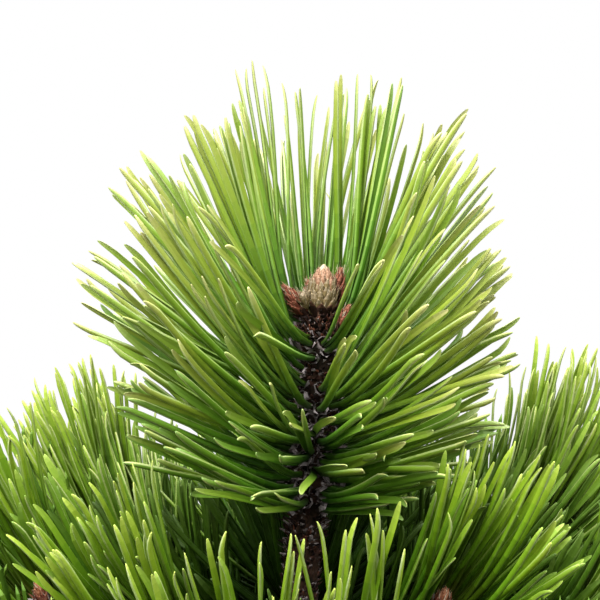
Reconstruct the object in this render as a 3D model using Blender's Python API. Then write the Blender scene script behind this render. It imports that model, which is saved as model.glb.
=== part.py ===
"""A young compact Bosnian pine in a plain nursery pot.

Metres, +Z up. The origin is the middle of the pot's flat underside, and the
plant is seen from -Y in its front view. The trunk is whole from a flat cut at
the soil to the terminal bud. Boughs leave it in three tiers, and each ends in
a mass: a stem with its bud, side twigs, and needles that follow one rule.
"""

import math
from dataclasses import dataclass

import bmesh
import bpy
import numpy as np
from mathutils import Matrix

# Clearance between pieces that touch on the real plant
GAP = 0.0003

# The nursery pot
POT_HEIGHT = 0.140
POT_RIM_RADIUS = 0.0875
POT_FOOT_RADIUS = 0.0640
POT_WALL = 0.0022
RIM_HEIGHT = 0.013
RIM_OVERHANG = 0.0035
FOOT_BEVEL = 0.004
FLOOR_RIM = 0.030
EDGE = 0.001
POT_SIDES = 40
DRAIN_COUNT = 8
DRAIN_RADIUS = 0.006
DRAIN_RING = 0.048

# The potting soil
SOIL_LEVEL = 0.128
SOIL_FOOT_FLAT = 0.015
SOIL_BUMP = 0.0022
SOIL_CLEAR = 0.0010
SOIL_SHOULDER = 0.004
SOIL_DIP = 0.001
SOIL_SIDES = 32
SOIL_RINGS = 4
SOIL_SEED = 11

# The trunk, from the soil to the foot of the terminal bud
TRUNK_HEIGHT = 0.203
TRUNK_TOP = SOIL_LEVEL + TRUNK_HEIGHT
TRUNK_FOOT_RADIUS = 0.0078
TRUNK_TOP_RADIUS = 0.0032
TRUNK_TAPER_POWER = 1.3
ROOT_FLARE = 0.0052
ROOT_FLARE_HEIGHT = 0.009
TRUNK_SWAY = 0.006
TRUNK_SWAY_BACK = 0.4
TRUNK_SIDES = 10
TRUNK_RINGS = 18
TRUNK_RING_POWER = 1.35

# The leader's foliage, a sleeve round the top of the trunk
LEADER_FOLIAGE = 0.052
SLEEVE_WALL = 0.0014
SLEEVE_SIDES = 10
SLEEVE_RINGS = 5
SLEEVE_TOP_CLEAR = 0.0016
SLEEVE_END = 0.0015

# Buds
LEADER_BUD_LENGTH = 0.0135
LEADER_BUD_RADIUS = 0.0050
SIDE_BUD_LENGTH = 0.0105
SIDE_BUD_RADIUS = 0.0026
SIDE_BUD_LEAN = 36.0
SIDE_BUD_TURNS = (-62.0, 28.0, 118.0, 208.0)
SIDE_BUD_OUT, SIDE_BUD_UP = 0.0020, 0.0022
BUD_FOOT_SHARE, BUD_FOOT_POWER, BUD_FULLNESS = 0.30, 0.9, 0.8
BUD_TIP_SHARE, BUD_TIP_RADIUS = 0.10, 0.0007
TWIG_BUD_LENGTH = 0.0095
TWIG_BUD_RADIUS = 0.0036
BUD_RINGS = 6
TWIG_BUD_RINGS = 4

# Boughs and the shoots that they carry
BOUGH_ROOT_RADIUS = 0.0031
BOUGH_TIP_RADIUS = 0.0024
BOUGH_SIDES = 6
BOUGH_RINGS = 5
SHOOT_RADIUS = 0.0023
SHOOT_SIDES = 6
TWIG_SIDES = 5
TWIG_RADIUS = 0.0017
CURVE_STEPS = 40
BOUGH_LEAST = 0.012
BOUGH_PULL = 0.4
ROOT_SLANT = 28.0
TWIG_SPREAD = 44.0
TWIG_CLEAR = 0.011
TWIG_FIRST, TWIG_STEP = 0.80, 0.17
TWIG_LENGTH, TWIG_SHORTER = 0.78, 0.10
TWIG_OUT, TWIG_UP = 0.62, 0.46
TWIG_RISE, TWIG_SPLAY = 0.30, 0.35
CURVE_PULL = 0.35
TWIG_NEEDLES_FROM = 0.30
STEM_NEEDLES_FROM = 0.004

# Needles. They are larger than life here, and fewer.
GOLDEN_ANGLE = math.pi * (3.0 - math.sqrt(5.0))
NEEDLE_LENGTH = 0.068
NEEDLE_HALF_WIDTH = 0.0019
NEEDLE_THICKNESS = 0.0016
NEEDLE_STATIONS = 9
NEEDLE_SHORTEST = 0.86
NEEDLE_SPREAD_SPLIT = 6.0
NEEDLE_ARCH = -5.0
NEEDLE_ARCH_SPREAD = 15.0
NEEDLE_LIFT = 0.12
NEEDLE_SINK = 0.0011
NEEDLE_BROADEST = 0.45
NEEDLE_FOOT_SHARE = 0.6
SLEEVE_SINK_SHARE = 0.65
LEADER_NEEDLES = 52
TRIES = 5
SHORTENED = (1.0, 0.8, 0.6)
GOLDEN_SHARE = 0.618034
CROSSING_STATIONS = 25
CROSSING_FROM = 3
NEEDLES_APART = 0.0044
JOINT_KEEP = 0.010
NOWHERE = np.array([0.0, 0.0, -1.0])
LEADER_OPEN = (72.0, 13.0)
SHOOT_OPEN = (78.0, 16.0)
OPEN_POWER = 1.25
LEADER_HEADROOM = 0.010
POT_CLEAR = 0.004
POT_MOUTH_INSET = 0.012
TRUNK_KEEP = 0.0045
BUDS_KEEP, BUDS_SPLAY, BUDS_HEADROOM = 0.0015, 0.0050, 1.15
SPACE_MARGIN = 2.0 * (NEEDLE_HALF_WIDTH + GAP)
SPACE_SAMPLES = 40


@dataclass(frozen=True)
class Shoot:
    """One bough and its mass: where it leaves the trunk and where its bud is.

    azimuth is in degrees from +X seen from above, reach is from the trunk's
    axis, tilt is the bud's lean outwards, and foliage is the length of stem
    that carries needles.
    """

    name: str
    azimuth: float
    reach: float
    height: float
    root: float
    tilt: float
    foliage: float
    needles: int
    twigs: int
    twig_needles: int


# The upper tier's shoots show one by one: each bud's azimuth, reach and height,
# which like every height of a shoot is above the soil
UPPER_BUDS = (
    (-84.0, 0.075, 0.127),
    (-47.0, 0.047, 0.140),
    (-4.0, 0.076, 0.121),
    (37.0, 0.083, 0.131),
    (90.0, 0.070, 0.133),
    (141.0, 0.080, 0.129),
    (191.0, 0.077, 0.134),
    (229.0, 0.059, 0.129),
    (255.0, 0.070, 0.119),
)
UPPER_ROOT = 0.083
UPPER_ROOT_STEP = 0.009
UPPER_TILT = 22.0

# The two lower tiers follow a rule
LOWER_TIER_COUNT = 6
TIER_SEED = 5
AZIMUTH_JITTER = 7.0
REACH_JITTER = 0.005
HEIGHT_JITTER = 0.005
MIDDLE_START, MIDDLE_REACH, MIDDLE_HEIGHT = -66.0, 0.098, 0.090
MIDDLE_ROOT, MIDDLE_TILT = 0.052, 40.0
LOWEST_START, LOWEST_REACH, LOWEST_HEIGHT = -97.0, 0.104, 0.050
LOWEST_ROOT, LOWEST_TILT = 0.022, 60.0
TIER_ROOT_STEP = 0.008


def upper_tier():
    """The shoots of the upper tier, their roots in three levels on the trunk."""
    return [
        Shoot(
            name=f"upper_{number}",
            azimuth=azimuth,
            reach=reach,
            height=height,
            root=UPPER_ROOT + UPPER_ROOT_STEP * (number % 3),
            tilt=UPPER_TILT,
            foliage=0.066,
            needles=19,
            twigs=0,
            twig_needles=0,
        )
        for number, (azimuth, reach, height) in enumerate(UPPER_BUDS, 1)
    ]


def ruled_tier(name, start, reach, height, root, tilt, rng):
    """A tier of evenly turned shoots with a little jitter."""
    shoots = []
    for number in range(1, LOWER_TIER_COUNT + 1):
        turn, further, higher = rng.uniform(-1.0, 1.0, 3)
        shoots.append(
            Shoot(
                name=f"{name}_{number}",
                azimuth=start
                + 360.0 / LOWER_TIER_COUNT * (number - 1)
                + AZIMUTH_JITTER * turn,
                reach=reach + REACH_JITTER * further,
                height=height + HEIGHT_JITTER * higher,
                root=root + TIER_ROOT_STEP * (number % 2),
                tilt=tilt,
                foliage=0.084,
                needles=11,
                twigs=2,
                twig_needles=5,
            )
        )
    return shoots


class Axis:
    """A limb's centreline, read by the distance along it."""

    def __init__(self, points):
        self.points = np.asarray(points, float)
        steps = np.linalg.norm(np.diff(self.points, axis=0), axis=1)
        self.along = np.concatenate([[0.0], np.cumsum(steps)])
        self.length = float(self.along[-1])

    def at(self, distance):
        """The points at these distances from the start."""
        distance = np.atleast_1d(distance)
        return np.stack(
            [np.interp(distance, self.along, self.points[:, k]) for k in range(3)],
            axis=1,
        )

    def tangent(self, distance):
        """Unit directions at these distances, looking towards the tip."""
        reach = self.length * 0.02
        low = np.clip(np.atleast_1d(distance) - reach, 0.0, self.length - reach)
        return unit(self.at(low + reach) - self.at(low))

    def part(self, start, end, count):
        """count points from one distance to another."""
        return self.at(np.linspace(start, end, count))


def unit(vectors):
    """Vectors scaled to a length of one."""
    return vectors / np.linalg.norm(vectors, axis=-1, keepdims=True)


def bezier(first, second, third, last):
    """A cubic curve's points from its four control points."""
    t = np.linspace(0.0, 1.0, CURVE_STEPS)[:, None]
    return (
        (1 - t) ** 3 * first
        + 3 * (1 - t) ** 2 * t * second
        + 3 * (1 - t) * t**2 * third
        + t**3 * last
    )


def side_vectors(tangents):
    """Two unit vectors across each tangent, at right angles to each other."""
    guide = np.where(
        np.abs(tangents[:, 2:3]) < 0.95, [[0.0, 0.0, 1.0]], [[0.0, 1.0, 0.0]]
    )
    first = unit(np.cross(guide, tangents))
    return first, np.cross(tangents, first)


def trunk_centre(height):
    """The trunk's centre at a height: a gentle bow, upright at the top."""
    share = np.clip((np.asarray(height) - SOIL_LEVEL) / TRUNK_HEIGHT, 0, 1)
    bow = TRUNK_SWAY * np.sin(math.pi * share) ** 2
    return np.stack([-bow, TRUNK_SWAY_BACK * bow, height + 0.0 * bow], axis=-1)


def trunk_radius(height):
    """The trunk's radius at a height: an even taper and a flare at the foot."""
    above = np.asarray(height) - SOIL_LEVEL
    share = np.clip(1.0 - above / TRUNK_HEIGHT, 0.0, 1.0)
    taper = TRUNK_TOP_RADIUS + (TRUNK_FOOT_RADIUS - TRUNK_TOP_RADIUS) * (
        share**TRUNK_TAPER_POWER
    )
    return taper + ROOT_FLARE * np.exp(-above / ROOT_FLARE_HEIGHT)


def shoot_axis(shoot):
    """A bough and its shoot as one curve from the trunk's side to the bud."""
    turn = math.radians(shoot.azimuth)
    outward = np.array([math.cos(turn), math.sin(turn), 0.0])
    upward = np.array([0.0, 0.0, 1.0])
    slant, tilt = math.radians(ROOT_SLANT), math.radians(shoot.tilt)
    leave = outward * math.cos(slant) + upward * math.sin(slant)
    arrive = outward * math.sin(tilt) + upward * math.cos(tilt)
    clear = float(trunk_radius(SOIL_LEVEL + shoot.root)) + GAP
    clear += BOUGH_ROOT_RADIUS * math.sin(slant)
    start = trunk_centre(SOIL_LEVEL + shoot.root) + outward * clear
    end = outward * shoot.reach + upward * (SOIL_LEVEL + shoot.height)
    pull = BOUGH_PULL * np.linalg.norm(end - start)
    return Axis(bezier(start, start + leave * pull, end - arrive * pull, end))


def twig_axes(shoot, axis):
    """The side twigs of a shoot, to its left and right by turns."""
    made = []
    for number in range(shoot.twigs):
        at = axis.length - shoot.foliage * (TWIG_FIRST - TWIG_STEP * number)
        start = axis.at(at)[0]
        tangent = axis.tangent(at)
        level = unit(np.cross([[0.0, 0.0, 1.0]], tangent))[0]
        side = level * (1 if number % 2 == 0 else -1)
        spread = math.radians(TWIG_SPREAD)
        leave = tangent[0] * math.cos(spread) + side * math.sin(spread)
        length = shoot.foliage * (TWIG_LENGTH - TWIG_SHORTER * number)
        ahead = axis.tangent(axis.length)[0]
        rise = unit(np.array([0.0, 0.0, TWIG_RISE]) + ahead + TWIG_SPLAY * side)
        end = start + leave * length * TWIG_OUT + rise * length * TWIG_UP
        pull = length * CURVE_PULL
        made.append(Axis(bezier(start, start + leave * pull, end - rise * pull, end)))
    return made


def needle_lines(axis, first, last, count, opening, seed, stem_radius):
    """The needles' centrelines, as an array of count by stations by 3.

    They stand round the stem by the golden angle. Each leaves it at an angle
    that closes from opening[0] at the foot to opening[1] at the top, arches
    outwards or inwards, and lifts towards the light.
    """
    rng = np.random.default_rng(seed)
    share = (np.arange(count) + 0.5) / count
    distance = first + (last - first) * share
    tangent = axis.tangent(distance)
    across, over = side_vectors(tangent)
    turn = (GOLDEN_ANGLE * np.arange(count) + rng.uniform(0, math.tau))[:, None]
    radial = across * np.cos(turn) + over * np.sin(turn)
    opened = np.radians(
        opening[0]
        + (opening[1] - opening[0]) * share**OPEN_POWER
        + NEEDLE_SPREAD_SPLIT * rng.uniform(-1, 1, count)
    )
    length = NEEDLE_LENGTH * rng.uniform(NEEDLE_SHORTEST, 1.0, count)
    arch = np.radians(NEEDLE_ARCH + NEEDLE_ARCH_SPREAD * rng.uniform(-1, 1, count))
    along = np.linspace(0.0, 1.0, NEEDLE_STATIONS)[None, :]
    angle = (opened[:, None] - arch[:, None] * along)[..., None]
    heading = np.cos(angle) * tangent[:, None] + np.sin(angle) * radial[:, None]
    heading[..., 2] += NEEDLE_LIFT * along
    heading = unit(heading)
    step = (length / (NEEDLE_STATIONS - 1))[:, None, None]
    moved = np.cumsum((heading[:, 1:] + heading[:, :-1]) / 2 * step, axis=1)
    sunk = np.broadcast_to(stem_radius, distance.shape)[:, None] - NEEDLE_SINK
    start = axis.at(distance) + radial * sunk
    return np.concatenate([start[:, None], start[:, None] + moved], axis=1)


def stretched(lines, share, stations):
    """The first share of each centreline, told by this many stations."""
    at = np.linspace(0.0, share * (NEEDLE_STATIONS - 1), stations)
    low = np.minimum(at.astype(int), NEEDLE_STATIONS - 2)
    weight = (at - low)[None, :, None]
    return lines[:, low] * (1.0 - weight) + lines[:, low + 1] * weight


def nearest(points, others):
    """The distance from each point to the nearest of the others."""
    flat = points.reshape(-1, 3)
    found = np.full(len(flat), np.inf)
    for chunk in np.array_split(others, max(1, len(others) // 200)):
        gap = np.linalg.norm(flat[:, None] - chunk[None], axis=2).min(axis=1)
        found = np.minimum(found, gap)
    return found.reshape(points.shape[:-1])


class Crown:
    """Every limb's centreline, and which needles keep to their own space."""

    def __init__(self, shoots):
        self.shoots = shoots
        heights = np.linspace(SOIL_LEVEL, TRUNK_TOP, SPACE_SAMPLES)
        self.trunk = Axis(trunk_centre(heights))
        self.axes = {shoot.name: shoot_axis(shoot) for shoot in shoots}
        self.twigs = {shoot.name: [] for shoot in shoots}
        for shoot in shoots:
            for twig in twig_axes(shoot, self.axes[shoot.name]):
                if self.twig_is_clear(shoot, twig):
                    self.twigs[shoot.name].append(twig)
        leader = self.trunk.length - LEADER_FOLIAGE
        self.spaces = {
            "leader": self.trunk.part(leader, self.trunk.length, SPACE_SAMPLES)
        }
        for shoot in shoots:
            axis = self.axes[shoot.name]
            parts = [axis.part(self.bare(shoot), axis.length, SPACE_SAMPLES)]
            parts += [
                twig.part(0.0, twig.length, SPACE_SAMPLES)
                for twig in self.twigs[shoot.name]
            ]
            self.spaces[shoot.name] = np.concatenate(parts)

    def bare(self, shoot):
        """How much of a shoot's curve is the bare bough."""
        return max(self.axes[shoot.name].length - shoot.foliage, BOUGH_LEAST)

    def twig_is_clear(self, shoot, twig):
        """Whether a side twig keeps away from every other shoot and twig."""
        others = [
            self.axes[other.name].points
            for other in self.shoots
            if other.name != shoot.name
        ]
        others += [
            made.points
            for name, twigs in self.twigs.items()
            if name != shoot.name
            for made in twigs
        ]
        others.append(self.trunk.points)
        return nearest(twig.points, np.concatenate(others)).min() > TWIG_CLEAR

    def own(self, name, lines):
        """Which needles stay in their mass's space and off every limb."""
        mine = nearest(lines, self.spaces[name])
        rest = np.concatenate([s for n, s in self.spaces.items() if n != name])
        headroom = LEADER_HEADROOM if name == "leader" else 0.0
        theirs = nearest(lines, rest) + headroom
        if name != "leader":
            to_leader = nearest(lines, self.spaces["leader"]) - LEADER_HEADROOM
            theirs = np.minimum(theirs, to_leader)
        kept = (theirs - mine > SPACE_MARGIN).all(axis=1)
        reach = NEEDLE_HALF_WIDTH + GAP
        if name != "leader":
            spare = nearest(lines, self.trunk.points) - TRUNK_KEEP
            kept &= (spare > reach).all(axis=1)
        for shoot in self.shoots:
            bough = self.axes[shoot.name].part(0.0, self.bare(shoot), SPACE_SAMPLES)
            spare = nearest(lines, bough) - BOUGH_ROOT_RADIUS
            kept &= (spare > reach).all(axis=1)
        return kept & clear_of_pot(lines) & clear_of_leader_bud(lines)


def clear_of_pot(lines):
    """Whether needles stay above the soil and outside the pot."""
    radius = np.hypot(lines[..., 0], lines[..., 1])
    over_pot = radius < POT_RIM_RADIUS + RIM_OVERHANG + POT_CLEAR
    mouth = POT_RIM_RADIUS - POT_MOUTH_INSET
    low = np.where(radius < mouth, SOIL_LEVEL + SOIL_BUMP, POT_HEIGHT)
    return ~(over_pot & (lines[..., 2] < low + POT_CLEAR)).any(axis=1)


def clear_of_leader_bud(lines):
    """Whether needles pass outside the cluster of buds at the top."""
    foot = trunk_centre(TRUNK_TOP)
    away = lines - foot
    share = away[..., 2] / LEADER_BUD_LENGTH
    width = LEADER_BUD_RADIUS + BUDS_KEEP + BUDS_SPLAY * np.maximum(share, 0.0)
    radius = np.hypot(away[..., 0], away[..., 1])
    beside = (away[..., 2] > -EDGE) & (share < BUDS_HEADROOM)
    return ~(beside & (radius < width)).any(axis=1)


def material(name, colour, roughness):
    """A plain Principled finish."""
    made = bpy.data.materials.new(name)
    made.use_nodes = True
    shader = made.node_tree.nodes["Principled BSDF"]
    shader.inputs["Base Color"].default_value = (*colour, 1.0)
    shader.inputs["Roughness"].default_value = roughness
    shader.inputs["Metallic"].default_value = 0.0
    return made


def add_object(name, points, faces, finish, smooth=True):
    """A named object from points and faces."""
    mesh = bpy.data.meshes.new(name)
    mesh.from_pydata([tuple(p) for p in points], [], faces)
    mesh.materials.append(finish)
    if smooth:
        mesh.shade_smooth()
        mesh.set_sharp_from_angle(angle=math.radians(50.0))
    obj = bpy.data.objects.new(name, mesh)
    bpy.context.scene.collection.objects.link(obj)
    return obj


def tube(centres, radii, sides):
    """Points and faces of a closed round limb, its cuts square to its line."""
    axis = Axis(centres)
    tangent = axis.tangent(axis.along)
    across, over = side_vectors(tangent)
    for ring in range(1, len(centres)):
        carried = across[ring - 1]
        carried = carried - tangent[ring] * (carried @ tangent[ring])
        across[ring] = carried / np.linalg.norm(carried)
        over[ring] = np.cross(tangent[ring], across[ring])
    turn = np.arange(sides) * 2 * math.pi / sides
    round_ = (
        across[:, None] * np.cos(turn)[None, :, None]
        + over[:, None] * np.sin(turn)[None, :, None]
    )
    points = axis.points[:, None] + round_ * np.asarray(radii)[:, None, None]
    return points.reshape(-1, 3), grid_faces(len(centres), sides)


def grid_faces(rings, sides):
    """Faces of stacked rings with both ends closed."""
    faces = []
    for ring in range(rings - 1):
        low, high = ring * sides, (ring + 1) * sides
        for k in range(sides):
            after = (k + 1) % sides
            faces.append((low + k, low + after, high + after, high + k))
    faces.append(tuple(reversed(range(sides))))
    faces.append(tuple((rings - 1) * sides + k for k in range(sides)))
    return faces


def turned(profile, sides):
    """Points and faces of a closed profile of (radius, height) spun round +Z."""
    turn = np.arange(sides) * 2 * math.pi / sides
    profile = np.asarray(profile)
    points = np.stack(
        [
            profile[:, 0][:, None] * np.cos(turn),
            profile[:, 0][:, None] * np.sin(turn),
            np.repeat(profile[:, 1][:, None], sides, axis=1),
        ],
        axis=2,
    )
    faces = []
    count = len(profile)
    for row in range(count):
        low, high = row * sides, ((row + 1) % count) * sides
        for k in range(sides):
            after = (k + 1) % sides
            faces.append((low + k, low + after, high + after, high + k))
    return points.reshape(-1, 3), faces


def bud_radii(radius, length, count):
    """Distances along a bud and its radius there: full low down, then pointed."""
    share = np.linspace(0.0, 1.0, count)
    wave = (BUD_FOOT_SHARE + (1.0 - BUD_FOOT_SHARE) * share) ** BUD_FOOT_POWER
    full = np.sin(math.pi * wave) ** BUD_FULLNESS
    return share * length, radius * np.clip(full / full.max(), BUD_TIP_SHARE, 1.0)


def make_pot(finish):
    """A tapering pot with a turned rim and drain holes round its floor."""
    foot, rim, wall = POT_FOOT_RADIUS, POT_RIM_RADIUS, POT_WALL
    skirt = POT_HEIGHT - RIM_HEIGHT
    outer = foot + (rim - foot) * skirt / POT_HEIGHT
    inner_foot = foot - wall
    profile = [
        (inner_foot - FLOOR_RIM, 0.0),
        (foot - FOOT_BEVEL, 0.0),
        (foot - EDGE, EDGE),
        (foot, FOOT_BEVEL),
        (outer, skirt),
        (outer + RIM_OVERHANG, skirt + 1.5 * EDGE),
        (rim + RIM_OVERHANG, POT_HEIGHT - EDGE),
        (rim + RIM_OVERHANG - EDGE, POT_HEIGHT),
        (rim - wall + EDGE, POT_HEIGHT),
        (rim - wall, POT_HEIGHT - EDGE),
        (outer - wall, skirt),
        (inner_foot, wall + FOOT_BEVEL),
        (inner_foot - FOOT_BEVEL, wall),
        (inner_foot - FLOOR_RIM, wall),
    ]
    ring = len(profile)
    points, faces = turned(profile, POT_SIDES)
    faces = [f for f in faces if not set(f) <= set(seam(ring, POT_SIDES))]
    faces.append(tuple(reversed(range(POT_SIDES))))
    faces.append(tuple((ring - 1) * POT_SIDES + k for k in range(POT_SIDES)))
    pot = add_object("pot", points, faces, finish)
    for number in range(DRAIN_COUNT):
        cut_hole(pot, number)
    return pot


def seam(ring, sides):
    """Points of the first and last rows of a turned profile."""
    return list(range(sides)) + [(ring - 1) * sides + k for k in range(sides)]


def cut_hole(pot, number):
    """One drain hole through the pot's floor."""
    turn = 2 * math.pi * (number + 0.5) / DRAIN_COUNT
    mesh = bpy.data.meshes.new(f"drain_{number}")
    shape = bmesh.new()
    bmesh.ops.create_cone(
        shape,
        cap_ends=True,
        segments=12,
        radius1=DRAIN_RADIUS,
        radius2=DRAIN_RADIUS,
        depth=8.0 * POT_WALL,
        matrix=Matrix.Translation(
            (DRAIN_RING * math.cos(turn), DRAIN_RING * math.sin(turn), 0.0)
        ),
    )
    shape.to_mesh(mesh)
    shape.free()
    cutter = bpy.data.objects.new(f"drain_{number}", mesh)
    cutter.hide_render = True
    cutter.display_type = "WIRE"
    bpy.context.scene.collection.objects.link(cutter)
    modifier = pot.modifiers.new(f"drain_{number}", "BOOLEAN")
    modifier.operation = "DIFFERENCE"
    modifier.object = cutter


def make_soil(finish):
    """The potting mix: it fills the pot, and is flat where the trunk stands."""
    rng = np.random.default_rng(SOIL_SEED)
    low = POT_WALL + GAP
    slope = (POT_RIM_RADIUS - POT_FOOT_RADIUS) / POT_HEIGHT
    side = POT_FOOT_RADIUS - POT_WALL - SOIL_CLEAR
    high = side + slope * (SOIL_LEVEL - SOIL_SHOULDER)
    rings = [
        (side - FOOT_BEVEL, low),
        (side, low + FOOT_BEVEL + EDGE),
        (high, SOIL_LEVEL - SOIL_SHOULDER),
    ]
    for step in range(1, SOIL_RINGS + 1):
        share = 1 - step / (SOIL_RINGS + 1)
        radius = SOIL_FOOT_FLAT + (high - SOIL_FOOT_FLAT) * share
        rings.append((radius, SOIL_LEVEL - SOIL_DIP))
    rings.append((SOIL_FOOT_FLAT, SOIL_LEVEL))
    turn = np.arange(SOIL_SIDES) * 2 * math.pi / SOIL_SIDES
    points = []
    for row, (radius, height) in enumerate(rings):
        bumpy = 3 <= row < len(rings) - 1
        bump = rng.uniform(-1, 1, SOIL_SIDES) * (SOIL_BUMP if bumpy else 0.0)
        points += [
            (radius * math.cos(a), radius * math.sin(a), height + b)
            for a, b in zip(turn, bump)
        ]
    faces = grid_faces(len(rings), SOIL_SIDES)
    return add_object("soil", points, faces, finish, smooth=False)


def make_trunk(finish):
    """The trunk, whole from the soil to the terminal bud."""
    share = np.linspace(0, 1, TRUNK_RINGS) ** TRUNK_RING_POWER
    heights = SOIL_LEVEL + GAP + (TRUNK_HEIGHT - GAP) * share
    centres, radii = trunk_centre(heights), trunk_radius(heights)
    points, faces = tube(centres, radii, TRUNK_SIDES)
    points = points.reshape(TRUNK_RINGS, TRUNK_SIDES, 3)
    points[0, :, 2] = heights[0]
    return add_object("trunk", points.reshape(-1, 3), faces, finish)


def bud_mesh(foot, direction, length, radius, sides):
    """Points and faces of one bud."""
    along, radii = bud_radii(radius, length, BUD_RINGS)
    centres = np.asarray(foot) + np.outer(along, unit(np.asarray(direction)))
    return tube(centres, radii, sides)


def make_leader_bud(finish):
    """The terminal bud with its ring of side buds."""
    foot = trunk_centre(TRUNK_TOP) + [0.0, 0.0, GAP]
    upward = np.array([0.0, 0.0, 1.0])
    points, faces = bud_mesh(foot, upward, LEADER_BUD_LENGTH, LEADER_BUD_RADIUS, 8)
    bud = add_object("leader_bud", points, faces, finish)
    parts = []
    for number, turn in enumerate(SIDE_BUD_TURNS):
        angle, lean = math.radians(turn), math.radians(SIDE_BUD_LEAN)
        outward = np.array([math.cos(angle), math.sin(angle), 0.0])
        direction = outward * math.sin(lean) + upward * math.cos(lean)
        start = foot + outward * SIDE_BUD_OUT + upward * SIDE_BUD_UP
        points, faces = bud_mesh(start, direction, SIDE_BUD_LENGTH, SIDE_BUD_RADIUS, 6)
        parts.append(add_object(f"side_bud_{number}", points, faces, finish))
    fuse(bud, parts)
    return bud


def fuse(base, parts):
    """Joins closed parts to the base as one solid, and removes the parts."""
    collection = bpy.data.collections.new(base.name + "_parts")
    for part in parts:
        collection.objects.link(part)
        bpy.context.scene.collection.objects.unlink(part)
    bpy.context.scene.collection.children.link(collection)
    modifier = base.modifiers.new("fuse", "BOOLEAN")
    modifier.operation = "UNION"
    modifier.operand_type = "COLLECTION"
    modifier.collection = collection
    modifier.solver = "MANIFOLD"
    graph = bpy.context.evaluated_depsgraph_get()
    joined = bpy.data.meshes.new_from_object(base.evaluated_get(graph))
    base.modifiers.clear()
    base.data = joined
    for part in list(collection.objects):
        bpy.data.objects.remove(part)
    bpy.data.collections.remove(collection)
    keep_outer_shell(base.data)
    base.data.shade_flat()


def keep_outer_shell(mesh):
    """Fills the pockets that fusing seals in a mass, and drops loose scraps."""
    shape = bmesh.new()
    shape.from_mesh(mesh)
    bmesh.ops.triangulate(shape, faces=shape.faces)
    unseen = set(shape.faces)
    shells = []
    while unseen:
        shell, waiting = [], [unseen.pop()]
        while waiting:
            face = waiting.pop()
            shell.append(face)
            plain = [edge for edge in face.edges if len(edge.link_faces) == 2]
            beside = {other for edge in plain for other in edge.link_faces} & unseen
            unseen -= beside
            waiting += beside
        shells.append(shell)
    shells.sort(key=len)
    loose = [face for shell in shells[:-1] for face in shell]
    bmesh.ops.delete(shape, geom=loose, context="FACES")
    shape.to_mesh(mesh)
    shape.free()


def needle_mesh(line, inward):
    """Points and faces of one broad needle, its flat side towards inward.

    It has a three-sided section at its sunk foot and at its broadest place,
    and runs out to one point.
    """
    axis = Axis(line)
    stations = np.array([0.0, NEEDLE_BROADEST]) * axis.length
    centres, heading = axis.at(stations), axis.tangent(stations)
    across = unit(np.cross(heading, inward[None]))
    back = np.cross(across, heading)
    swell = np.array([NEEDLE_FOOT_SHARE, 1.0])[:, None]
    half, deep = swell * NEEDLE_HALF_WIDTH, swell * NEEDLE_THICKNESS / 2
    corners = np.stack(
        [
            centres - across * half + back * deep,
            centres + across * half + back * deep,
            centres - back * deep,
        ],
        axis=1,
    ).reshape(-1, 3)
    points = np.concatenate([corners, axis.points[-1:]])
    faces = [(0, 1, 4, 3), (1, 2, 5, 4), (2, 0, 3, 5)]
    faces += [(3, 4, 6), (4, 5, 6), (5, 3, 6), (2, 1, 0)]
    return points, faces


def fitted_lines(crown, name, lines):
    """Needles that keep to the mass's own space.

    One that would leave the space is tried shorter, then skipped.
    """
    fitted = np.zeros(len(lines), bool)
    kept = lines.copy()
    for share in SHORTENED:
        tried = stretched(lines, share, NEEDLE_STATIONS)
        better = crown.own(name, tried) & ~fitted
        kept[better] = tried[better]
        fitted |= better
    return kept[fitted]


def spread_lines(lines, most, placed, stems):
    """Up to the most needles that a stem carries, none across another.

    They are taken in turn from all along the stem. placed holds the points
    of the mass's needles up to now, and gains the points of these. stems
    are points of the mass's other stems, which needles pass clear of too.
    """
    taken = []
    for index in np.argsort(np.arange(len(lines)) * GOLDEN_SHARE % 1.0):
        fine = stretched(lines[index : index + 1], 1.0, CROSSING_STATIONS)[0]
        fine = fine[CROSSING_FROM:]
        if len(taken) == most:
            break
        if nearest(fine, np.concatenate([stems, *placed])).min() < NEEDLES_APART:
            continue
        placed.append(fine)
        taken.append(lines[index])
    return taken


def other_stems(stem, stems):
    """Points of a mass's other stems, but for where they join this one."""
    joints = [stem.points[0]] + [other.points[0] for other in stems]
    found = [NOWHERE[None]]
    for other in stems:
        if other is not stem:
            apart = nearest(other.points, np.array(joints)) > JOINT_KEEP
            found.append(other.points[apart])
    return np.concatenate(found)


def needle_objects(crown, name, lines, most, stem, stems, placed, finish):
    """A stem's needles, each a closed object."""
    lines = fitted_lines(crown, name, lines)
    lines = spread_lines(lines, most, placed, other_stems(stem, stems))
    made = []
    for number, line in enumerate(lines):
        foot = stem.points[np.argmin(np.linalg.norm(stem.points - line[0], axis=1))]
        inward = unit(foot - line[0] + 1e-9)
        points, faces = needle_mesh(line, inward)
        needle = add_object(f"{name}_needle_{number}", points, faces, finish, False)
        face_outwards(needle)
        made.append(needle)
    return made


def face_outwards(obj):
    """Turns a closed mesh's faces to point out."""
    shape = bmesh.new()
    shape.from_mesh(obj.data)
    bmesh.ops.recalc_face_normals(shape, faces=shape.faces)
    shape.to_mesh(obj.data)
    shape.free()


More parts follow.
